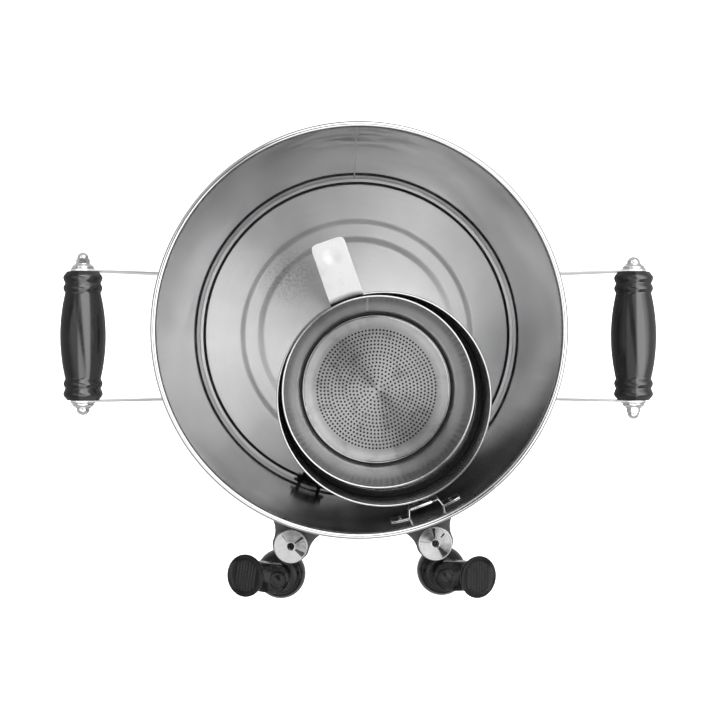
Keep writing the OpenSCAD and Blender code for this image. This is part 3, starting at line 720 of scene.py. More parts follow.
# painted shade: the grips reflect less on the side that faces left
M_GRIP = moulded("grip_black", (0.006, 0.006, 0.0066), (0.010, 0.010, 0.0108), 0.2, grain=900.0, grain_d=0.000006, spec=0.9, scuff=0.03, edge=0.08, left_side_dimmed=0.28)
M_GREY = moulded("grey_plastic", (0.034, 0.034, 0.037), (0.060, 0.060, 0.064), 0.5, grain=900.0, grain_d=0.00008, spec=0.35)
M_RUBBER = moulded("rubber", (0.012, 0.012, 0.012), (0.022, 0.022, 0.022), 0.68, grain=1100.0, grain_d=0.00004, spec=0.3)
M_SILICONE = moulded("silicone", (0.70, 0.70, 0.68), (0.80, 0.80, 0.77), 0.45, spec=0.4)
# near-black painted shade for the screen's holes, the groove inside the cup and the sleeve's bottom ledge
M_CREVICE_SHADE = moulded("crevice_shade", (0.010, 0.0095, 0.009), (0.030, 0.028, 0.026), 0.7, grain=700.0, grain_d=0.00005, spec=0.2)
# dark groove round the floor's edge: grime and painted shade
M_GROOVE_GRIME_AND_SHADE = moulded("groove_grime_and_shade", (0.016, 0.0155, 0.015), (0.060, 0.058, 0.056), 0.5, grain=600.0, grain_d=0.00005, spec=0.25)
M_GLASS = glass_material()


def seal_material(s):
    """Pale ring that is dark at its two sides and where it meets the wall."""
    m, nt, bs = material("seal_right" if s > 0 else "seal_left")
    rad, x, y, z = polar(nt)
    a = s * TAP_ANG + TAP_TURN
    across = maths(nt, "ABSOLUTE", maths(nt, "ADD", maths(nt, "MULTIPLY", x, math.cos(a)), maths(nt, "MULTIPLY", y, math.sin(a))))
    f = noise(nt, object_coords(nt), 260.0, 3.0, 0.6)
    nt.links.new(grey_colour(nt, maths(nt, "MULTIPLY", maths(nt, "MULTIPLY", spread(nt, across, 0.85, 0.02, 0.0070, 0.0080), spread(nt, rad, 1.0, 0.03, (WALL_RI - 1.1) * 0.001, (WALL_RI - 0.7) * 0.001)), spread(nt, f, 0.85, 1.0, 0.3, 0.7)), 0.98), bs.inputs["Base Color"])
    nt.links.new(spread(nt, f, 0.4, 0.6, 0.3, 0.7), bs.inputs["Roughness"])
    bump(nt, bs, (f, 0.2, 0.00005))
    return m


M_SEAL = {-1: seal_material(-1), 1: seal_material(1)}

for n, o in NODES.items():
    key = n.split("_", 1)[1] if n.startswith(("left_", "right_")) else n
    mat = {
        "tank_wall": M_WALL, "tank_floor": M_FLOOR, "base_ring": M_PLATE, "feet": M_RUBBER, "foot_screws": M_BRIGHT, "foot_nuts": M_BRIGHT,
        "infuser_clip": M_PLATE, "handle_bracket": M_EAR, "grip": M_GRIP, "handle_bolt": M_BRIGHT, "cap_nut": M_BRIGHT, "handle_ferrules": M_BRIGHT,
        "tap_body": M_BLACK, "gauge_tee": M_BLACK, "outer_gasket": M_RUBBER, "inner_gasket": M_SILICONE, "lock_nut": M_BLACK, "bonnet": M_BLACK,
        "swivel_collar": M_BLACK, "lever_pin": M_BRIGHT, "lever": M_BLACK, "stem": M_GREY, "seat_cup": M_SILICONE, "spring": M_BRIGHT,
        "gauge_glass": M_GLASS, "gauge_guard": M_BRIGHT, "gauge_seals": M_RUBBER, "gauge_cap": M_CAP[-1], "gauge_bracket": M_GREY, "bracket_studs": M_PLATE,
        "holder_sleeve": M_SLEEVE, "holder_hook": M_PLATE, "infuser_cup": M_CUP, "infuser_screen": M_SCREEN, "infuser_tab": M_TAB,
    }[key]
    if key == "inner_gasket":
        mat = M_SEAL[-1 if n.startswith("left") else 1]
    o.data.materials.clear()
    o.data.materials.append(mat)
    if key in ("swivel_collar", "base_ring", "gauge_guard", "outer_gasket", "inner_gasket"):
        bevel(o, 0.3, 2, 40.0, apply=False)

# ------------------------------------------------------------------ camera, light and floor
cam_data = bpy.data.cameras.new("camera")
cam = bpy.data.objects.new("camera", cam_data)
bpy.context.scene.collection.objects.link(cam)
cam_data.sensor_width = 36.0
cam_data.sensor_fit = "HORIZONTAL"
cam_data.lens = 1467.0 / 720.0 * 36.0
cam_data.clip_start, cam_data.clip_end = 0.05, 20.0
eye = Vector((-0.0089, -0.0150, 1.465))
aim = Vector((0.0004, -0.0214, 0.415))
fwd = (aim - eye).normalized()
right = fwd.cross(Vector((0, 1, 0))).normalized()
up = right.cross(fwd)
cam.matrix_world = Matrix((
    (right.x, up.x, -fwd.x, eye.x),
    (right.y, up.y, -fwd.y, eye.y),
    (right.z, up.z, -fwd.z, eye.z),
    (0, 0, 0, 1)))
bpy.context.scene.camera = cam

# the sky is bright at the horizon, as white walls are, and dim overhead, where two soft boxes hang
world = bpy.data.worlds.new("studio")
bpy.context.scene.world = world
world.use_nodes = True
wt = world.node_tree
bg = wt.nodes["Background"]
tc = wt.nodes.new("ShaderNodeTexCoord")
sx = wt.nodes.new("ShaderNodeSeparateXYZ")
wt.links.new(tc.outputs["Generated"], sx.inputs[0])
sky = wt.nodes.new("ShaderNodeValToRGB")
sky.color_ramp.interpolation = "EASE"
for e, (p, c) in zip(sky.color_ramp.elements, [(0.12, 0.72), (0.7, 0.08)]):
    e.position = p
    e.color = (c, c, c * 1.01, 1)
wt.links.new(sx.outputs[2], sky.inputs["Fac"])
wt.links.new(sky.outputs["Color"], bg.inputs["Color"])
bg.inputs["Strength"].default_value = 1.0


def soft_box(name, azimuth, zenith, dist, inner, outer, long, radiance):
    """Area light that faces the urn, reaching inner metres up and outer metres down from its middle line."""
    a, z = math.radians(azimuth), math.radians(zenith)
    target = Vector((0, 0, 0.35))
    d = Vector((math.cos(a) * math.sin(z), math.sin(a) * math.sin(z), math.cos(z)))
    ld = bpy.data.lights.new(name, "AREA")
    ld.shape = "RECTANGLE"
    ld.size, ld.size_y = long, inner + outer
    ld.energy = radiance * math.pi * (inner + outer) * long
    lo = bpy.data.objects.new(name, ld)
    y_axis = Vector((-math.cos(a) * math.cos(z), -math.sin(a) * math.cos(z), math.sin(z)))
    x_axis = y_axis.cross(d)
    p = target + d * dist + y_axis * ((inner - outer) / 2)
    lo.matrix_world = Matrix((
        (x_axis.x, y_axis.x, d.x, p.x),
        (x_axis.y, y_axis.y, d.y, p.y),
        (x_axis.z, y_axis.z, d.z, p.z),
        (0, 0, 0, 1)))
    lo.visible_camera = False
    bpy.context.scene.collection.objects.link(lo)
    return lo


# each box is made of strips, so that it fades out towards its lower edge
for i, (y0, y1, level) in enumerate([(-0.45, 0.98, 1.0), (-0.95, -0.45, 0.6), (-1.4, -0.95, 0.3)]):
    soft_box("box_back_right_%d" % i, 32.0, 36.0, 1.7, y1, -y0, 3.8, 3.3 * level)
for i, (y0, y1, level) in enumerate([(-0.25, 0.88, 1.0), (-0.7, -0.25, 0.5)]):
    soft_box("box_front_left_%d" % i, 230.0, 36.0, 1.7, y1, -y0, 3.8, 2.5 * level)
soft_box("box_back_left", 127.5, 42.0, 1.7, 0.6, 0.9, 1.5, 0.8)

floor_mat, nt, bs = material("studio_floor")
f = noise(nt, object_coords(nt), 3.0, 2.0)
nt.links.new(ramp(nt, f, [(0.3, (0.86, 0.86, 0.865)), (0.7, (0.88, 0.88, 0.885))]), bs.inputs["Base Color"])
bs.inputs["Roughness"].default_value = 0.7
bs.inputs["Emission Color"].default_value = (1, 1, 1, 1)
bs.inputs["Emission Strength"].default_value = 0.8
floor = new_object("studio_floor", [(-6000, -6000, 0), (6000, -6000, 0), (6000, 6000, 0), (-6000, 6000, 0)], [(0, 1, 2, 3)])
floor.data.materials.append(floor_mat)
floor.visible_glossy = False
bpy.context.scene.view_settings.view_transform = "Standard"

# ------------------------------------------------------------------ tank
b = BEAD / 2
bead_c = (RIM_R - b, RIM_Z - b)
a0 = -math.degrees(math.acos((WALL_RO - bead_c[0]) / b))
a1 = 360 - math.degrees(math.acos((WALL_RI - bead_c[0]) / b))
rim_profile = arc(*bead_c, b - 0.02, a0, a1, 40)
z_in, z_out = rim_profile[-1][1], rim_profile[0][1]
wall_profile = [(WALL_RI, z_in + (FOOT_H + 0.4 - z_in) * i / 44) for i in range(1, 45)] + [(WALL_RI + 0.15, FOOT_H), (WALL_RO - 0.15, FOOT_H)]
wall_profile += [(WALL_RO, FOOT_H + 0.4 + (z_out - FOOT_H - 0.4) * i / 44) for i in range(44)]
tank = lathe("tank_shell", rim_profile + wall_profile, 288)


def wall_wave(p):
    """Slight hand-rolled unevenness of the sheet, none at the rim, the foot and the fittings."""
    r = math.hypot(p.x, p.y)
    if p.z > 402 or p.z < 30 or r < 1:
        return (0, 0, 0)
    q = smoothstep((402 - p.z) / 25) * smoothstep((p.z - 165) / 30)
    k = 0.10 * mnoise.noise(Vector((p.x / r * 3.4, p.y / r * 3.4, p.z / 95.0))) * q
    return (p.x / r * k, p.y / r * k, 0)


ripple(tank, wall_wave)
for s in (-1, 1):
    boolean(tank, along_x("hole", [(0, -85), (9.5, -85), (9.5, -70), (0, -70)], 48, at_tap(s) @ move(0, 0, SHANK_Z)))
finish_mesh(tank, M_WALL, "urn", ["tank_wall"], 60)
second_material(tank, M_RIM, lambda c: c.z > z_out)

seam_at = math.radians(90.8)
for name, r, z0, z1 in (("tank_seam_inside", WALL_RI - 0.02, FLOOR_Z + 5.2, 410.6), ("tank_seam_outside", WALL_RO + 0.02, 11.0, 409.6)):
    sign = -1 if "inside" in name else 1
    rings = []
    m = 90
    for i in range(m + 1):
        z = z0 + (z1 - z0) * i / m
        w = 0.62 + 0.10 * mnoise.noise(Vector((z / 9.0, r, 0.0)))
        hgt = (0.13 + 0.03 * mnoise.noise(Vector((z / 5.0, r, 4.0)))) * min(1.0, 0.2 + 5 * min(i, m - i) / m)
        ring = []
        for k in range(12):
            t = 2 * math.pi * k / 12
            rr = r + sign * (hgt * math.sin(t))
            a = seam_at + w * math.cos(t) / r
            ring.append((rr * math.cos(a), rr * math.sin(a), z))
        rings.append(ring)
    finish_mesh(loft(name, rings), M_WELD, "urn", (), 60)

h, t = 2.8, 0.9
w = WALL_RI


def floor_top(r):
    if 85.8 <= r <= 93.0:
        return h * smoothstep((r - 85.8) / 7.2)
    if 93.0 < r < 102.6:
        return h
    if 102.6 <= r <= 110.0:
        return h * (1 - smoothstep((r - 102.6) / 7.4))
    return 0.0


rs = [0, 6, 12, 20, 28, 36, 44, 52, 60, 67, 73, 78, 82] + [85.8 + 0.55 * i for i in range(45)] + [112, 115, 118, 121, 124, 127, 130, 133, 136, 138.5, 140.4]
edge = soften([(w - 6.2, 0), (w - 5.5, -0.05), (w - 5.3, -0.5), (w - 5.0, -2.1), (w - 4.2, -2.3), (w - 3.5, -2.1), (w - 3.2, -0.5), (w - 3.0, 0.0), (w - 2.3, 0.2), (w - 1.6, 0.45), (w - 0.9, 0.7), (w - 0.3, 0.95), (w - 0.05, 1.3)], 2)
edge_u = soften([(w - 0.05, 0.3), (w - 0.5, -0.5), (w - 2.0, -1.0), (w - 2.5, -2.7), (w - 3.2, -3.1), (w - 5.0, -3.1), (w - 5.8, -2.7), (w - 6.2, -t)], 1)
top = [(r, FLOOR_Z + floor_top(r)) for r in rs] + [(r, FLOOR_Z + z) for r, z in edge]
under = [(r, FLOOR_Z + z) for r, z in edge_u] + [(r, FLOOR_Z + floor_top(r) - t) for r in reversed(rs)]
floor_pan = lathe("tank_floor_pan", top + under, 256)


def pan_wave(p):
    r = math.hypot(p.x, p.y)
    q = smoothstep((139 - r) / 8)
    return (0, 0, q * (0.22 * mnoise.noise(Vector((p.x / 62.0, p.y / 62.0, 3.0))) + 0.05 * mnoise.noise(Vector((p.x / 24.0, p.y / 24.0, 8.0)))))


ripple(floor_pan, pan_wave)
finish_mesh(floor_pan, M_FLOOR, "urn", ["tank_floor"], 50)
# grime and painted shade in the groove round the floor's edge
second_material(floor_pan, M_GROOVE_GRIME_AND_SHADE, lambda c: w - 5.5 < math.hypot(c.x, c.y) < w - 3.0 and -2.6 < c.z - FLOOR_Z < -0.12)

feet = []
for k in range(4):
    pr = [(5, 0.2), (5.2, 0), (FOOT_R - 1.2, 0)] + arc(FOOT_R - 1.0, 1.0, 1.0, -80, 10, 5) + [(FOOT_R - 0.35, 3.2), (FOOT_R - 0.9, 3.6), (FOOT_R - 0.95, 4.3), (FOOT_R - 0.6, 4.7), (FOOT_R - 1.2, 8.6)] + arc(FOOT_R - 2.3, FOOT_H - 1.0, 1.0, 10, 85, 5) + [(2.2, FOOT_H), (2.2, 4.1), (2.3, 4.0), (4.9, 4.0), (5, 3.9)]
    feet.append(lathe("foot", pr, 48, Matrix.Rotation(math.radians(45 + 90 * k), 4, "Z") @ move(FOOT_AT, 0)))
finish_mesh(join("rubber_feet", feet), M_RUBBER, "urn", ["feet"], 40)

# ------------------------------------------------------------------ handles
half = GRIP_LEN / 2
for s, name in ((-1, "left"), (1, "right")):
    keys = [(12.2, 0.35), (14.75, 4.6), (13.35, 8.9), (14.65, 12.6), (13.35, 16.2), (GRIP_R, half)]
    up_line = [(3.1, 0.0), (11.6, 0.0), (12.0, 0.12)]
    for (r0, y0), (r1, y1) in zip(keys, keys[1:]):
        n = 22 if y1 == half else 9
        for i in range(n):
            q = i / n
            e = 1 - (1 - q) ** 2      # the barrel bows evenly
            if y1 != half:      # round beads with a tight valley between them
                e = math.sin(math.pi / 2 * q) ** 1.25 if r1 > r0 else 1 - math.sin(math.pi / 2 * (1 - q)) ** 1.25
            up_line.append((r0 + (r1 - r0) * e, y0 + (y1 - y0) * q))
    line = up_line + [(GRIP_R, half)] + [(r, 2 * half - y) for r, y in reversed(up_line)]
    grip = lathe(name + "_grip_turned", line, 112, side(s) @ move(GRIP_X, HANDLE_Y + half, GRIP_Z) @ RX90)
    finish_mesh(grip, M_GRIP, "urn", [name + "_grip"], 50)

    # back plate on the tank and two ear plates
    z0, z1, r0, r1 = GRIP_Z - 80, GRIP_Z - 38, WALL_RO, WALL_RO + EAR_T
    hw = half + EAR_T + 4
    pa0, pa1 = -math.asin((hw - HANDLE_Y) / WALL_RO), math.asin((hw + HANDLE_Y) / WALL_RO)
    plate = sector("plate", [(r0, z0), (r1 - 0.5, z0)] + arc(r1 - 0.6, z0 + 0.6, 0.6, -80, -10, 4) + [(r1, z0 + 1)] + [(r1, z1 - 1)] + arc(r1 - 0.6, z1 - 0.6, 0.6, 10, 80, 4) + [(r1 - 0.5, z1), (r0, z1)], pa0, pa1, 40, side(s))
    pieces, beads = [bevel(plate, 0.4, 2, 50)], []
    for e in (-1, 1):
        y = HANDLE_Y + e * (half + EAR_T / 2)
        x0 = math.sqrt((WALL_RO + EAR_T / 2) ** 2 - y * y)
        low, high = Vector((x0, z0 + 2)), Vector((x0, z1 - 2))
        cen = Vector((GRIP_X, GRIP_Z))

        def tangent(p, sign):
            d = p - cen
            return math.atan2(d.y, d.x) + sign * math.acos(9.4 / d.length)

        t_low, t_high = tangent(low, 1), tangent(high, -1)
        while t_high < t_low:
            t_high += 2 * math.pi
        pts = [tuple(low)] + [(cen.x + 9.4 * math.cos(t_low + (t_high - t_low) * i / 28), cen.y + 9.4 * math.sin(t_low + (t_high - t_low) * i / 28)) for i in range(29)] + [tuple(high)]
        ear = extrude_outline("ear", pts, -EAR_T / 2, EAR_T / 2, side(s) @ move(0, y) @ RX90)
        pieces.append(bevel(ear, 0.32, 3, 50))
        for q in (-1, 1):
            yy = y + q * EAR_T / 2
            xx = math.sqrt((WALL_RO + EAR_T) ** 2 - yy * yy)
            beads.append(weld_bead("bead", (xx, yy, z0 + 3.5), (xx, yy, z1 - 3.5), 0.95, 1.5, s * 3 + e + 0.4 * q, side(s)))
    finish_mesh(join(name + "_handle_plates", pieces), M_EAR, "urn", [name + "_handle_bracket"], 40)
    finish_mesh(join(name + "_handle_welds", beads), M_WELD, "urn", (), 60)


def on_bolt(s, end):
    return side(s) @ move(GRIP_X, HANDLE_Y, GRIP_Z) @ Matrix.Rotation(-math.pi / 2 if end > 0 else math.pi / 2, 4, "X") @ move(0, 0, GRIP_LEN / 2 + EAR_T)


ferrules = []
for s, name in ((-1, "left"), (1, "right")):
    tail = -GRIP_LEN - 2 * EAR_T - 10.6
    bolt = lathe(name + "_dome_bolt", [(0, tail), (2.6, tail), (3, tail + 0.5), (3, 4.6), (4.6, 4.6)] + arc(4.6, 4.9, 0.3, -90, 0, 3) + [(4.9, 5.5)] + oval(0, 5.6, 4.9, 4.2, 4, 90, 14)[:-1] + [(0, 9.8)], 64, on_bolt(s, s))
    finish_mesh(bolt, M_BRIGHT, "urn", [name + "_handle_bolt"], 50)
    nut = hex_nut(name + "_acorn_nut", 5.3, 3.6, 3.02, on_bolt(s, -s) @ move(0, 0, 4.6), dome=(4.3, 4.7))
    finish_mesh(nut, M_BRIGHT, "urn", [name + "_cap_nut"], 28)
    for e in (-1, 1):
        pr = [(3.05, 0), (9.0, 0)] + arc(8.95, 0.4, 0.4, -85, 60, 6) + [(8.6, 0.95), (8.35, 1.1), (8.3, 1.35)] + oval(5.6, 1.4, 2.7, 2.3, 8, 78, 9) + [(6.05, 3.75), (5.95, 3.95), (5.9, 4.35), (5.6, 4.6), (3.05, 4.6)]
        ferrules.append(lathe("ferrule", pr, 64, on_bolt(s, e)))
finish_mesh(join("dished_ferrules", ferrules), M_BRIGHT, "urn", ["handle_ferrules"], 38)

# ------------------------------------------------------------------ taps and gauges
for s, name in ((-1, "left"), (1, "right")):
    T = at_tap(s)
    z = SEAT_Z
    spout = [(0, z - 34), (9.2, z - 34), (9.9, z - 33.7), (10.4, z - 32.8), (10.5, z - 30), (10.6, z - 24), (11.1, z - 21), (12.2, z - 17.6), (13.8, z - 13), (15.4, z - 8), (16.5, z - 4.4), (17, z - 1), (17, BODY_TOP - 4), (17, BODY_TOP), (0, BODY_TOP)]
    lever_z = SHANK_Z
    body = join(name + "_tap_casting", [
        lathe("a", spout, 72, T),
        along_x("b", [(0, -92.4), (8.5, -92.4), (9, -91.9), (9, -12), (0, -12)], 64, T @ move(0, 0, lever_z)),
        along_x("c", [(0, -48), (12.2, -48), (12.6, -47.6), (12.6, -41.6), (12.2, -41.1), (11.5, -40.4), (10.9, -38.8), (10.7, -36), (10.7, -24), (11.2, -20), (12.6, -15.5), (13.2, -12), (0, -12)], 64, T @ move(0, 0, lever_z))])
    remesh(body, 0.6, 5)
    boolean(body, lathe("bore", [(0, z - 40), (7, z - 40), (7, z), (13, z), (13, z + 60), (0, z + 60)], 64, T))
    boolean(body, along_x("bore", [(0, -95), (6, -95), (6, -8), (0, -8)], 48, T @ move(0, 0, lever_z)))
    finish_mesh(body, M_BLACK, "urn", [name + "_tap_body"], 45)

    tee = join(name + "_gauge_tee_moulded", [
        along_x("a", [(0, -72), (12.4, -72), (13, -71.4), (13, -48.6), (12.4, -48), (0, -48)], 64, T @ move(0, 0, SHANK_Z)),
        lathe("b", [(0, SHANK_Z), (11.5, SHANK_Z), (11.5, SHANK_Z + 22), (11.9, SHANK_Z + 22.6), (11.9, SHANK_Z + 27.9), (11.3, SHANK_Z + 28.9), (0, SHANK_Z + 29)], 64, T @ move(GAUGE_X, 0))])
    remesh(tee, 0.6, 3)
    boolean(tee, along_x("bore", [(0, -75), (9.02, -75), (9.02, -45), (0, -45)], 64, T @ move(0, 0, SHANK_Z)))
    boolean(tee, lathe("bore", [(0, SHANK_Z + 19), (6.3, SHANK_Z + 19), (6.3, SHANK_Z + 25), (9.55, SHANK_Z + 25), (9.55, SHANK_Z + 40), (0, SHANK_Z + 40)], 64, T @ move(GAUGE_X, 0)))
    finish_mesh(tee, M_BLACK, "urn", [name + "_gauge_tee"], 45)

    # lock nut inside the tank: chamfered hexagon on a round flange
    flange = along_x("a", [(9.02, -84.9), (14.2, -84.9)] + arc(14.4, -84.3, 0.6, -90, 0, 4) + arc(14.4, -83.2, 0.6, 0, 90, 4) + [(9.02, -82.6)], 72, T @ move(0, 0, SHANK_Z))
    hexa = hex_nut("b", 14.6, 5.0, 9.02, T @ move(-84.8, 0, SHANK_Z) @ Matrix.Rotation(-math.pi / 2, 4, "Y"))
    finish_mesh(join(name + "_lock_nut_moulded", [flange, hexa]), M_BLACK, "urn", [name + "_lock_nut"], 28)

    # bonnet with turned ridges
    zb = SHANK_Z
    dome = []
    for i in range(61):
        a = math.radians(4 + 86 * i / 60)
        r, q = 8 + 14 * math.cos(a), zb + 17 + 15 * math.sin(a)
        lift = 0.0
        for rk, wk, hk in ((18.9, 0.9, 0.35), (17.0, 0.8, -0.35), (14.2, 0.9, 0.35), (11.6, 0.8, 0.3)):
            lift += hk * math.exp(-((r - rk) / wk) ** 2)
        dome.append((r + lift * math.cos(a) * 0.5, q + lift * math.sin(a)))
    bon = [(17, zb + 11.2), (20.8, zb + 11.2)] + arc(20.9, zb + 12.3, 1.1, -90, 0, 6) + [(22, zb + 14.6), (21.75, zb + 15.1), (21.75, zb + 15.7), (21.95, zb + 16.2)] + dome + [(4.08, BONNET_TOP), (4.08, zb + 25), (11, zb + 25), (11, zb + 15.6), (17, zb + 15.6)]
    bon = [(min(r, BONNET_R), q) for r, q in bon]
    finish_mesh(lathe(name + "_bonnet_turned", bon, 128, T), M_BLACK, "urn", [name + "_bonnet"], 50)

    # lever: hollow root over the collar, arm and dished thumb pad with ribs
    L = at_lever(s)
    zp = PIN_Z
    skirt = round_loop([(0, zp + 8), (-0.5, zp - 2), (1.5, zp - 5), (13, zp - 5.5), (20, zp - 3), (24, zp + 6), (14, zp + 9)], 2.0, 4)
    stations = [(-8.8, 7.3, 6.5), (-8.0, 8.0, 6.5), (-6.5, 8.8, 6.5), (-4, 9.6, 6.5), (-1, 10.1, 6.5), (3, 10.5, 6.5), (8, 11.2, 6.5), (12, 12.6, 6.5), (15, 14.2, 6.3), (18, 13.9, 5.4), (22, 11.8, 4.2), (26, 9.3, 3.7), (30, 6.9, 3.4), (33.5, 5.2, 3.3)]
    rings = []
    for u, zc, zlow in stations:
        hw = 13 * math.sqrt(max(0.03, 1 - ((3 - u) / 12.2) ** 2)) if u < 3 else 13 - 0.5 * smoothstep((u - 3) / 10) - 6.5 * smoothstep((u - 18) / 16)
        crown = min(3.2, 0.8 * (zc - zlow))
        ring = [(u, hw * math.cos(math.pi * k / 24), zp + zlow + (zc - zlow - crown * math.cos(math.pi * k / 24) ** 2) * min(1.0, 2.6 * math.sin(math.pi * k / 24) + 0.12)) for k in range(25)]
        ring += [(u, -hw + 2 * hw * k / 12, zp + zlow) for k in range(1, 12)]
        rings.append(ring)
    solids = [loft("roof", rings, L)]
    for e in (-1, 1):
        solids.append(extrude_outline("skirt", skirt, e * 11.2 - 1.6, e * 11.2 + 1.6, L @ RX90))
    solids.append(lathe("hub", [(0, zp + 8), (6.9, zp + 8), (6.9, zp + 10.7), (6.4, zp + 11.2), (5.4, zp + 11.4), (4.9, zp + 11.0), (4.3, zp + 11.0), (3.8, zp + 11.5), (0, zp + 12.0)], 48, L @ move(1.5, 0)))
    tilt = L @ move(29, 0, zp + 10) @ Matrix.Rotation(PAD_TILT, 4, "Y")
    solids.append(lathe("pad", [(0, -3.2), (9, -3.4), (14, -3.1), (17.0, -2.0), (18.1, -0.4), (18.3, 0.4), (17.4, 0.9), (0, 0.7)], 72, tilt))
    arm = remesh(join("arm", solids), 0.5, 5)
    top_parts = [arm, lathe("dish", [(0, -1.6), (15.5, -1.6), (17.6, -0.8), (18.35, 0.5), (18.47, 1.7), (18.25, 2.5), (17.6, 2.95), (16.9, 2.9), (16.3, 2.4), (15.6, 1.75), (14.0, 1.35), (8, 1.1), (0, 1.0)], 96, tilt)]
    for i in range(-3, 4):
        hw = math.sqrt((PAD_R - 5.5) ** 2 - (2.9 * i) ** 2)
        top_parts.append(lathe("rib", [(0, -hw - 0.8), (0.5, -hw - 0.55), (0.9, -hw + 0.1), (0.95, -hw + 1), (0.95, hw - 1), (0.9, hw - 0.1), (0.5, hw + 0.55), (0, hw + 0.8)], 16, tilt @ move(2.9 * i, 0, 1.15) @ RX90))
    for e in (-1, 1):
        nose = round_loop([(-1.2, zp - 1.3), (13, zp - 1.3), (13, zp + 7.5), (6.2, zp + 7.5), (6.2, zp + 1.9), (-1.2, zp + 1.9)], 1.2, 4)
        top_parts.append(extrude_outline("nose", nose, e * 4.1 - 1.4, e * 4.1 + 1.4, L @ RX90))
    lever = remesh(join(name + "_lever_moulded", top_parts), 0.4, 2)
    boolean(lever, lathe("bore", [(0, -20), (2.06, -20), (2.06, 20), (0, 20)], 32, L @ move(PIN_U, 0, zp) @ RX90))
    finish_mesh(lever, M_BLACK, name + "_lever", [name + "_lever"], 50)

    # turned cap of the gauge
    tz = CAP_TOP
    face = []
    for i in range(24):
        r = CAP_R - 1.1 - (CAP_R - 4.4) * i / 23
        face.append((r, tz - 0.02 * (i % 2) - 0.03 - 0.06 * (r - 3.3)))
    cap = [(9.55, tz - 14), (CAP_R - 0.7, tz - 14), (CAP_R - 0.15, tz - 13.6), (CAP_R, tz - 13), (CAP_R, tz - 11.2), (CAP_R - 0.5, tz - 10.8), (CAP_R - 0.5, tz - 10.2), (CAP_R, tz - 9.8), (CAP_R, tz - 1.5)] + arc(CAP_R - 0.8, tz - 1.32, 0.8, 5, 82, 6) + face + [(3.1, tz - 0.02), (2.75, tz - 0.15), (2.3, tz - 0.65), (2.2, tz - 1.0), (2.2, tz - 4), (8, tz - 4), (8, tz - 9), (9.55, tz - 9)]
    finish_mesh(lathe(name + "_cap_turned", cap, 128, T @ move(GAUGE_X, 0)), M_CAP[s], "urn", [name + "_gauge_cap"], 40)

    # flared bracket between the cap and the tank
    xw = math.sqrt((WALL_RO + 0.05) ** 2 - 24.4 ** 2) - TAP_AT
    p0, p1, p2 = Vector((GAUGE_X + 2, 13.85)), Vector((GAUGE_X - 9, 12.6)), Vector((xw + 3.6, 22.2))
    wing = [(1 - q) ** 2 * p0 + 2 * q * (1 - q) * p1 + q * q * p2 for q in [i / 16 for i in range(17)]]
    wing = [(v.x, v.y) for v in wing] + [(xw + 3.3, 22.9), (xw + 2.8, 23.6), (xw + 2.1, 24.1), (xw + 1.3, 24.35), (xw + 0.2, 24.4)]
    a_end = math.degrees(math.atan2(13.85, 2))
    outline = arc(GAUGE_X, 0, 14, -a_end, a_end, 40)[1:-1] + wing
    for i in range(1, 24):
        v = 24.4 - 48.8 * i / 24
        outline.append((math.sqrt((WALL_RO + 0.05) ** 2 - v * v) - TAP_AT, v))
    outline += [(x, -y) for x, y in reversed(wing)]
    brk = bevel(extrude_outline(name + "_bracket_moulded", outline, CAP_TOP - 29, CAP_TOP - 14, T), 0.7, 3, 50)
    boolean(brk, lathe("bore", [(0, CAP_TOP - 40), (9.55, CAP_TOP - 40), (9.55, CAP_TOP), (0, CAP_TOP)], 64, T @ move(GAUGE_X, 0)))
    finish_mesh(brk, M_GREY, "urn", [name + "_gauge_bracket"], 40)

# ------------------------------------------------------------------ clip, holder and infuser
HOLD = Matrix.Rotation(HOLD_ANG - math.pi / 2, 4, "Z")
front = WALL_RI - 7.3


def on_wall(y):
    return math.sqrt((WALL_RI - 0.05) ** 2 - y * y) - 0.4


clip_line = round_path([(on_wall(27.4), -27.4), (on_wall(20.5), -20.5), (on_wall(13.5), -13.5), (front + 0.4, -11.5), (front + 0.4, 11.5), (on_wall(13.5), 13.5), (on_wall(20.5), 20.5), (on_wall(27.4), 27.4)], 1.0, 6)
clip = bevel(extrude_outline("clip_folded", sheet_outline(clip_line, 0.65), SLEEVE_TOP - 30, SLEEVE_TOP, HOLD), 0.2, 3, 50)
finish_mesh(clip, M_PLATE, "urn", ["infuser_clip"], 40)
spots = [weld_bead("spot", (on_wall(y) - 0.3, y - 1.6, zz), (on_wall(y) - 0.3, y + 1.6, zz), 0.28, 1.2, y + zz, HOLD) for y in (-21, 21) for zz in (SLEEVE_TOP - 23, SLEEVE_TOP - 8)]
finish_mesh(join("clip_spot_welds", spots), M_WELD, "urn", (), 60)

fold, pad_x = front + 0.4, HOLD_AT + SLEEVE_R + 0.5
hook_line = round_path([(pad_x, SLEEVE_TOP - 33), (pad_x, SLEEVE_TOP - 12.85), (fold - 0.95, SLEEVE_TOP - 8.35), (fold - 0.95, SLEEVE_TOP - 0.2)], 1.6, 6)
hook_line += [Vector(p) for p in arc(fold, SLEEVE_TOP, 0.95, 180, 0, 16)] + [Vector((fold + 0.95, SLEEVE_TOP - 0.2)), Vector((fold + 0.95, SLEEVE_TOP - 18))]
hook = bevel(extrude_outline("hook_folded", sheet_outline(hook_line, 0.7), -6.6, 10.6, HOLD @ RX90), 0.2, 3, 50)
finish_mesh(hook, M_PLATE, "holder", ["holder_hook"], 40)
studs = [weld_bead("spot", (pad_x + 0.4, y - 1.5, SLEEVE_TOP - zz), (pad_x + 0.4, y + 1.5, SLEEVE_TOP - zz), 0.5, 1.2, y + zz, HOLD) for y in (-7.4, 2.6) for zz in (18, 27)]
finish_mesh(join("hook_spot_welds", studs), M_WELD, "holder", (), 60)

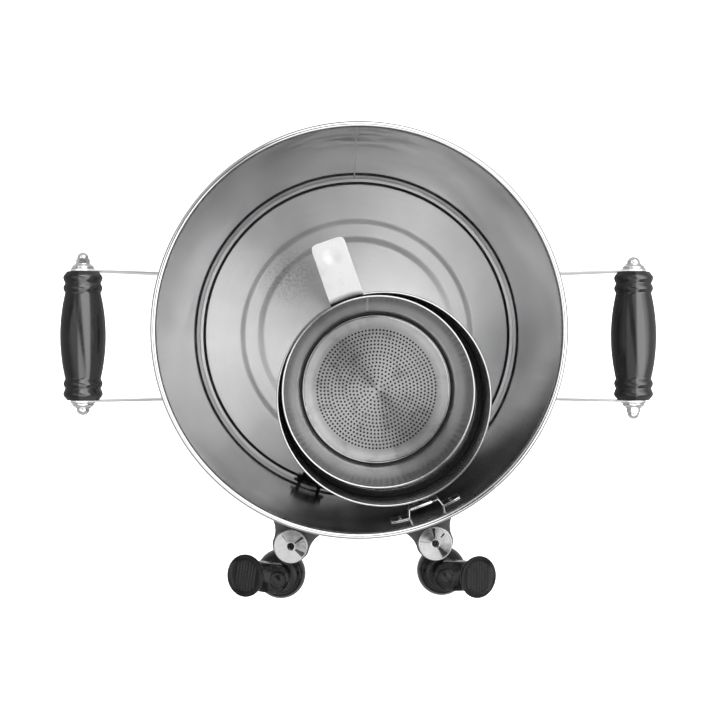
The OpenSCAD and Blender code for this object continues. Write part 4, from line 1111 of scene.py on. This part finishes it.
r, zb, zt = SLEEVE_R, SLEEVE_BOT, SLEEVE_TOP
inner = [(53.0, zb + 0.15), (53.0, zb + 0.65), (53.15, zb + 0.8), (66.0, zb + 0.8), (r - 7.0, zb + 0.82), (r - 6.5, zb + 0.95), (r - 6.2, zb + 1.35), (r - 5.8, zb + 1.55), (r - 5.4, zb + 1.55), (r - 5.15, zb + 1.95)]
inner += steps((r - 4.9, zb + 2.4), (r - 1.25, zb + 8.7), 8) + [(r - 1.15, zb + 9.0), (r - 1.35, zb + 9.35), (r - 1.35, zb + 9.75), (r - 1.05, zb + 10.1), (r - 0.82, zb + 10.6)]
inner += steps((r - 0.8, zb + 11.5), (r - 0.8, zt - 2.4), 14)
outer = steps((r, zt - 1.2), (r, zb + 9.4), 14) + [(r - 0.1, zb + 9.0)] + steps((r - 0.5, zb + 8.3), (r - 4.5, zb + 1.5), 6) + [(r - 5.1, zb + 0.5), (r - 6, zb), (53.2, zb)]
sleeve = lathe("sleeve_spun", inner + arc(r - 0.9, zt - 0.9, 0.9, 250, 0, 18) + outer, 240, move(*HOLD_C))
finish_mesh(sleeve, M_SLEEVE, "holder", ["holder_sleeve"], 45)
second_material(sleeve, M_RIM, lambda c: zt - 1.9 < c.z or (math.hypot(c.x - HOLD_C[0], c.y - HOLD_C[1]) < r - 0.6 and (zb + 8.6 < c.z < zb + 10.4 or zb + 0.9 < c.z < zb + 2.2)))
# painted shade on the sleeve's bottom ledge, under the cup
second_material(sleeve, M_CREVICE_SHADE, lambda c: math.hypot(c.x - HOLD_C[0], c.y - HOLD_C[1]) < 67 and c.z > zb + 0.2)

r, zb, zt = INF_R, INF_BOT, INF_TOP
cup_in = [(57.6, zb + 2.6), (58.7, zb + 2.6), (58.95, zb + 2.5), (59.05, zb + 2.2), (59.1, zb + 1.2), (59.3, zb + 0.95), (60.3, zb + 0.95), (60.5, zb + 1.2), (60.62, zb + 1.7)] + steps((60.75, zb + 2.4), (70.9, zt - 1.7), 30)
cup_out = steps((71.8, zt - 2.2), (61.75, zb + 1.6), 30) + [(61.5, zb + 0.7), (61.1, zb + 0.2), (60.5, zb), (57.6, zb)]
cup = lathe("infuser_cup_drawn", cup_in + arc(r - 0.8, zt - 0.8, 0.8, 200, -75, 26) + cup_out, 256, move(*INF_C))
finish_mesh(cup, M_CUP, "infuser", ["infuser_cup"], 45)
# painted shade in the groove inside the cup, round the screen
second_material(cup, M_CREVICE_SHADE, lambda c: 59.0 < math.hypot(c.x - INF_C[0], c.y - INF_C[1]) < 60.66 and zb + 0.9 < c.z < zb + 2.45)
second_material(cup, M_RIM, lambda c: c.z > zt - 1.3 and math.hypot(c.x - INF_C[0], c.y - INF_C[1]) > 70.85)

# weld seam of the cup, with its bright end just below the rim
rings = []
a_seam = math.radians(96.9)
for i in range(61):
    q = i / 60
    z = zb + 6 + (zt - 3.2 - zb - 6) * q
    rr = 60.75 + (70.9 - 60.75) * (z - zb - 2.4) / (zt - 1.7 - zb - 2.4)
    ww = 0.5 + 0.08 * mnoise.noise(Vector((z / 4.0, 1.0, 0.0))) + 0.35 * smoothstep((q - 0.86) / 0.1)
    hh = 0.12 + 0.10 * smoothstep((q - 0.86) / 0.1)
    ring = []
    for k in range(10):
        t = 2 * math.pi * k / 10
        ra = rr + 0.02 - hh * math.sin(t)
        a = a_seam + ww * math.cos(t) / rr
        ring.append((ra * math.cos(a), ra * math.sin(a), z))
    rings.append(ring)
finish_mesh(loft("infuser_seam", rings, move(*INF_C)), M_RIM, "infuser", (), 60)

# perforated screen
pts, loops = [], []


def add_loop(ring):
    k = len(pts)
    pts.extend(Vector(p) for p in ring)
    loops.append(list(range(k, k + len(ring))))


def hole(cx, cy, n=14):
    add_loop([(cx + HOLE_R * math.cos(2 * math.pi * i / n), cy + HOLE_R * math.sin(2 * math.pi * i / n)) for i in range(n)])


add_loop([(57.62 * math.cos(2 * math.pi * i / 160), 57.62 * math.sin(2 * math.pi * i / 160)) for i in range(160)])
hole(0, 0)
for k in range(1, int(FIELD_R / HOLE_PITCH) + 1):
    n, ring_r = round(6.5 * k), (k + 0.42) * HOLE_PITCH
    for i in range(n):
        a = 2 * math.pi * (i + (k % 2) / 2) / n
        hole(ring_r * math.cos(a), ring_r * math.sin(a))
edges = [(lp[i], lp[(i + 1) % len(lp)]) for lp in loops for i in range(len(lp))]
owner = [k for k, lp in enumerate(loops) for _ in lp]
cdt = delaunay_2d_cdt(pts, edges, [], 1, 1e-6)
cv = cdt[0]
cf = [f for f in cdt[2] if len({owner[i] for i in f}) > 1 or owner[f[0]] == 0]
z_top, z_low = INF_BOT + 2.6, INF_BOT + 1.8
rim_count = {}
for f in cf:
    for i in range(len(f)):
        e = (f[i], f[(i + 1) % len(f)])
        rim_count[tuple(sorted(e))] = rim_count.get(tuple(sorted(e)), 0) + 1
n = len(cv)
verts = [(p.x, p.y, z_top) for p in cv] + [(p.x, p.y, z_low) for p in cv]
faces = [tuple(f) for f in cf] + [tuple(i + n for i in reversed(f)) for f in cf]
faces += [(a, b_, b_ + n, a + n) for (a, b_), c in rim_count.items() if c == 1]
screen = new_object("screen_punched", verts, faces, move(*INF_C))


def dish(p):
    """The pressed disc sags very slightly and isn't quite even."""
    x, y = p.x - INF_C[0], p.y - INF_C[1]
    q = smoothstep((56 - math.hypot(x, y)) / 14)
    return (0, 0, q * 0.12 * mnoise.noise(Vector((x / 24.0, y / 24.0, 5.0))))


ripple(screen, dish)
finish_mesh(screen, M_SCREEN, "infuser", ["infuser_screen"], 40)
# painted shade on the walls of the screen's holes
second_material(screen, M_CREVICE_SHADE, lambda c: z_low + 0.25 < c.z < z_top - 0.25 and math.hypot(c.x - INF_C[0], c.y - INF_C[1]) < 52)

# tab: leg on the outside of the cup, bend, plate with a stamped thumb dimple
y0, y1, zt1 = INF_R - 0.8, INF_R + TAB_LEN, INF_TOP - 1.6
mid = [(y0 + 0.5, zt1 - 4.0), (y0 + 0.5, zt1 - 3.4)] + arc(y0 + 3.2, zt1 - 3.4, 2.75, 170, 90, 10) + steps((y0 + 4.2, zt1 - 0.6), (y1 - 4.5, zt1 - 0.6), 62)[0:] + [(y1 - 4.5 + 4.5 * math.sin(math.radians(9 * i)), zt1 - 0.6) for i in range(1, 11)]
cols = 40


def tab_half(y):
    if y <= y1 - 4.5:
        return TAB_W / 2
    return TAB_W / 2 - 4.5 + math.sqrt(max(0.0, 4.5 ** 2 - (y - y1 + 4.5) ** 2))


def tab_point(i, k, off):
    y, z = mid[i]
    p, q = mid[max(i - 1, 0)], mid[min(i + 1, len(mid) - 1)]
    d = Vector((q[0] - p[0], q[1] - p[1])).normalized()
    nrm = Vector((-d.y, d.x))
    x = tab_half(y) * (2 * k / cols - 1)
    sink = 0.0
    dd = math.hypot(x, y - (y1 - 12.5)) / 7.6
    if dd < 1:
        sink = -0.95 * (1 - smoothstep(dd)) ** 1.0
    bow = 0.10 * mnoise.noise(Vector((x / 17.0, y / 17.0, 2.0))) * smoothstep((y - y0 - 8) / 10)
    return (x, y + nrm.x * off, z + nrm.y * off + sink + bow)


rows = len(mid)
verts = [tab_point(i, k, 0.6) for i in range(rows) for k in range(cols + 1)] + [tab_point(i, k, -0.6) for i in range(rows) for k in range(cols + 1)]
nn = rows * (cols + 1)


def vid(i, k, low):
    return i * (cols + 1) + k + (nn if low else 0)


faces = []
for i in range(rows - 1):
    for k in range(cols):
        faces.append((vid(i, k, 0), vid(i, k + 1, 0), vid(i + 1, k + 1, 0), vid(i + 1, k, 0)))
        faces.append((vid(i, k, 1), vid(i + 1, k, 1), vid(i + 1, k + 1, 1), vid(i, k + 1, 1)))
for i in range(rows - 1):
    for k in (0, cols):
        faces.append((vid(i, k, 0), vid(i + 1, k, 0), vid(i + 1, k, 1), vid(i, k, 1)))
for k in range(cols):
    for i in (0, rows - 1):
        faces.append((vid(i, k, 0), vid(i, k + 1, 0), vid(i, k + 1, 1), vid(i, k, 1)))
tab = new_object("tab_stamped", verts, faces, move(*INF_C) @ Matrix.Rotation(TAB_TURN, 4, "Z"))
bevel(tab, 0.3, 3, 55)
finish_mesh(tab, M_TAB, "infuser", ["infuser_tab"], 40)

# each spring gets a mesh of its own; in the tap the stem's flange squeezes it against the bonnet
for name in ("left", "right"):
    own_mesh(NODES[name + "_spring"])
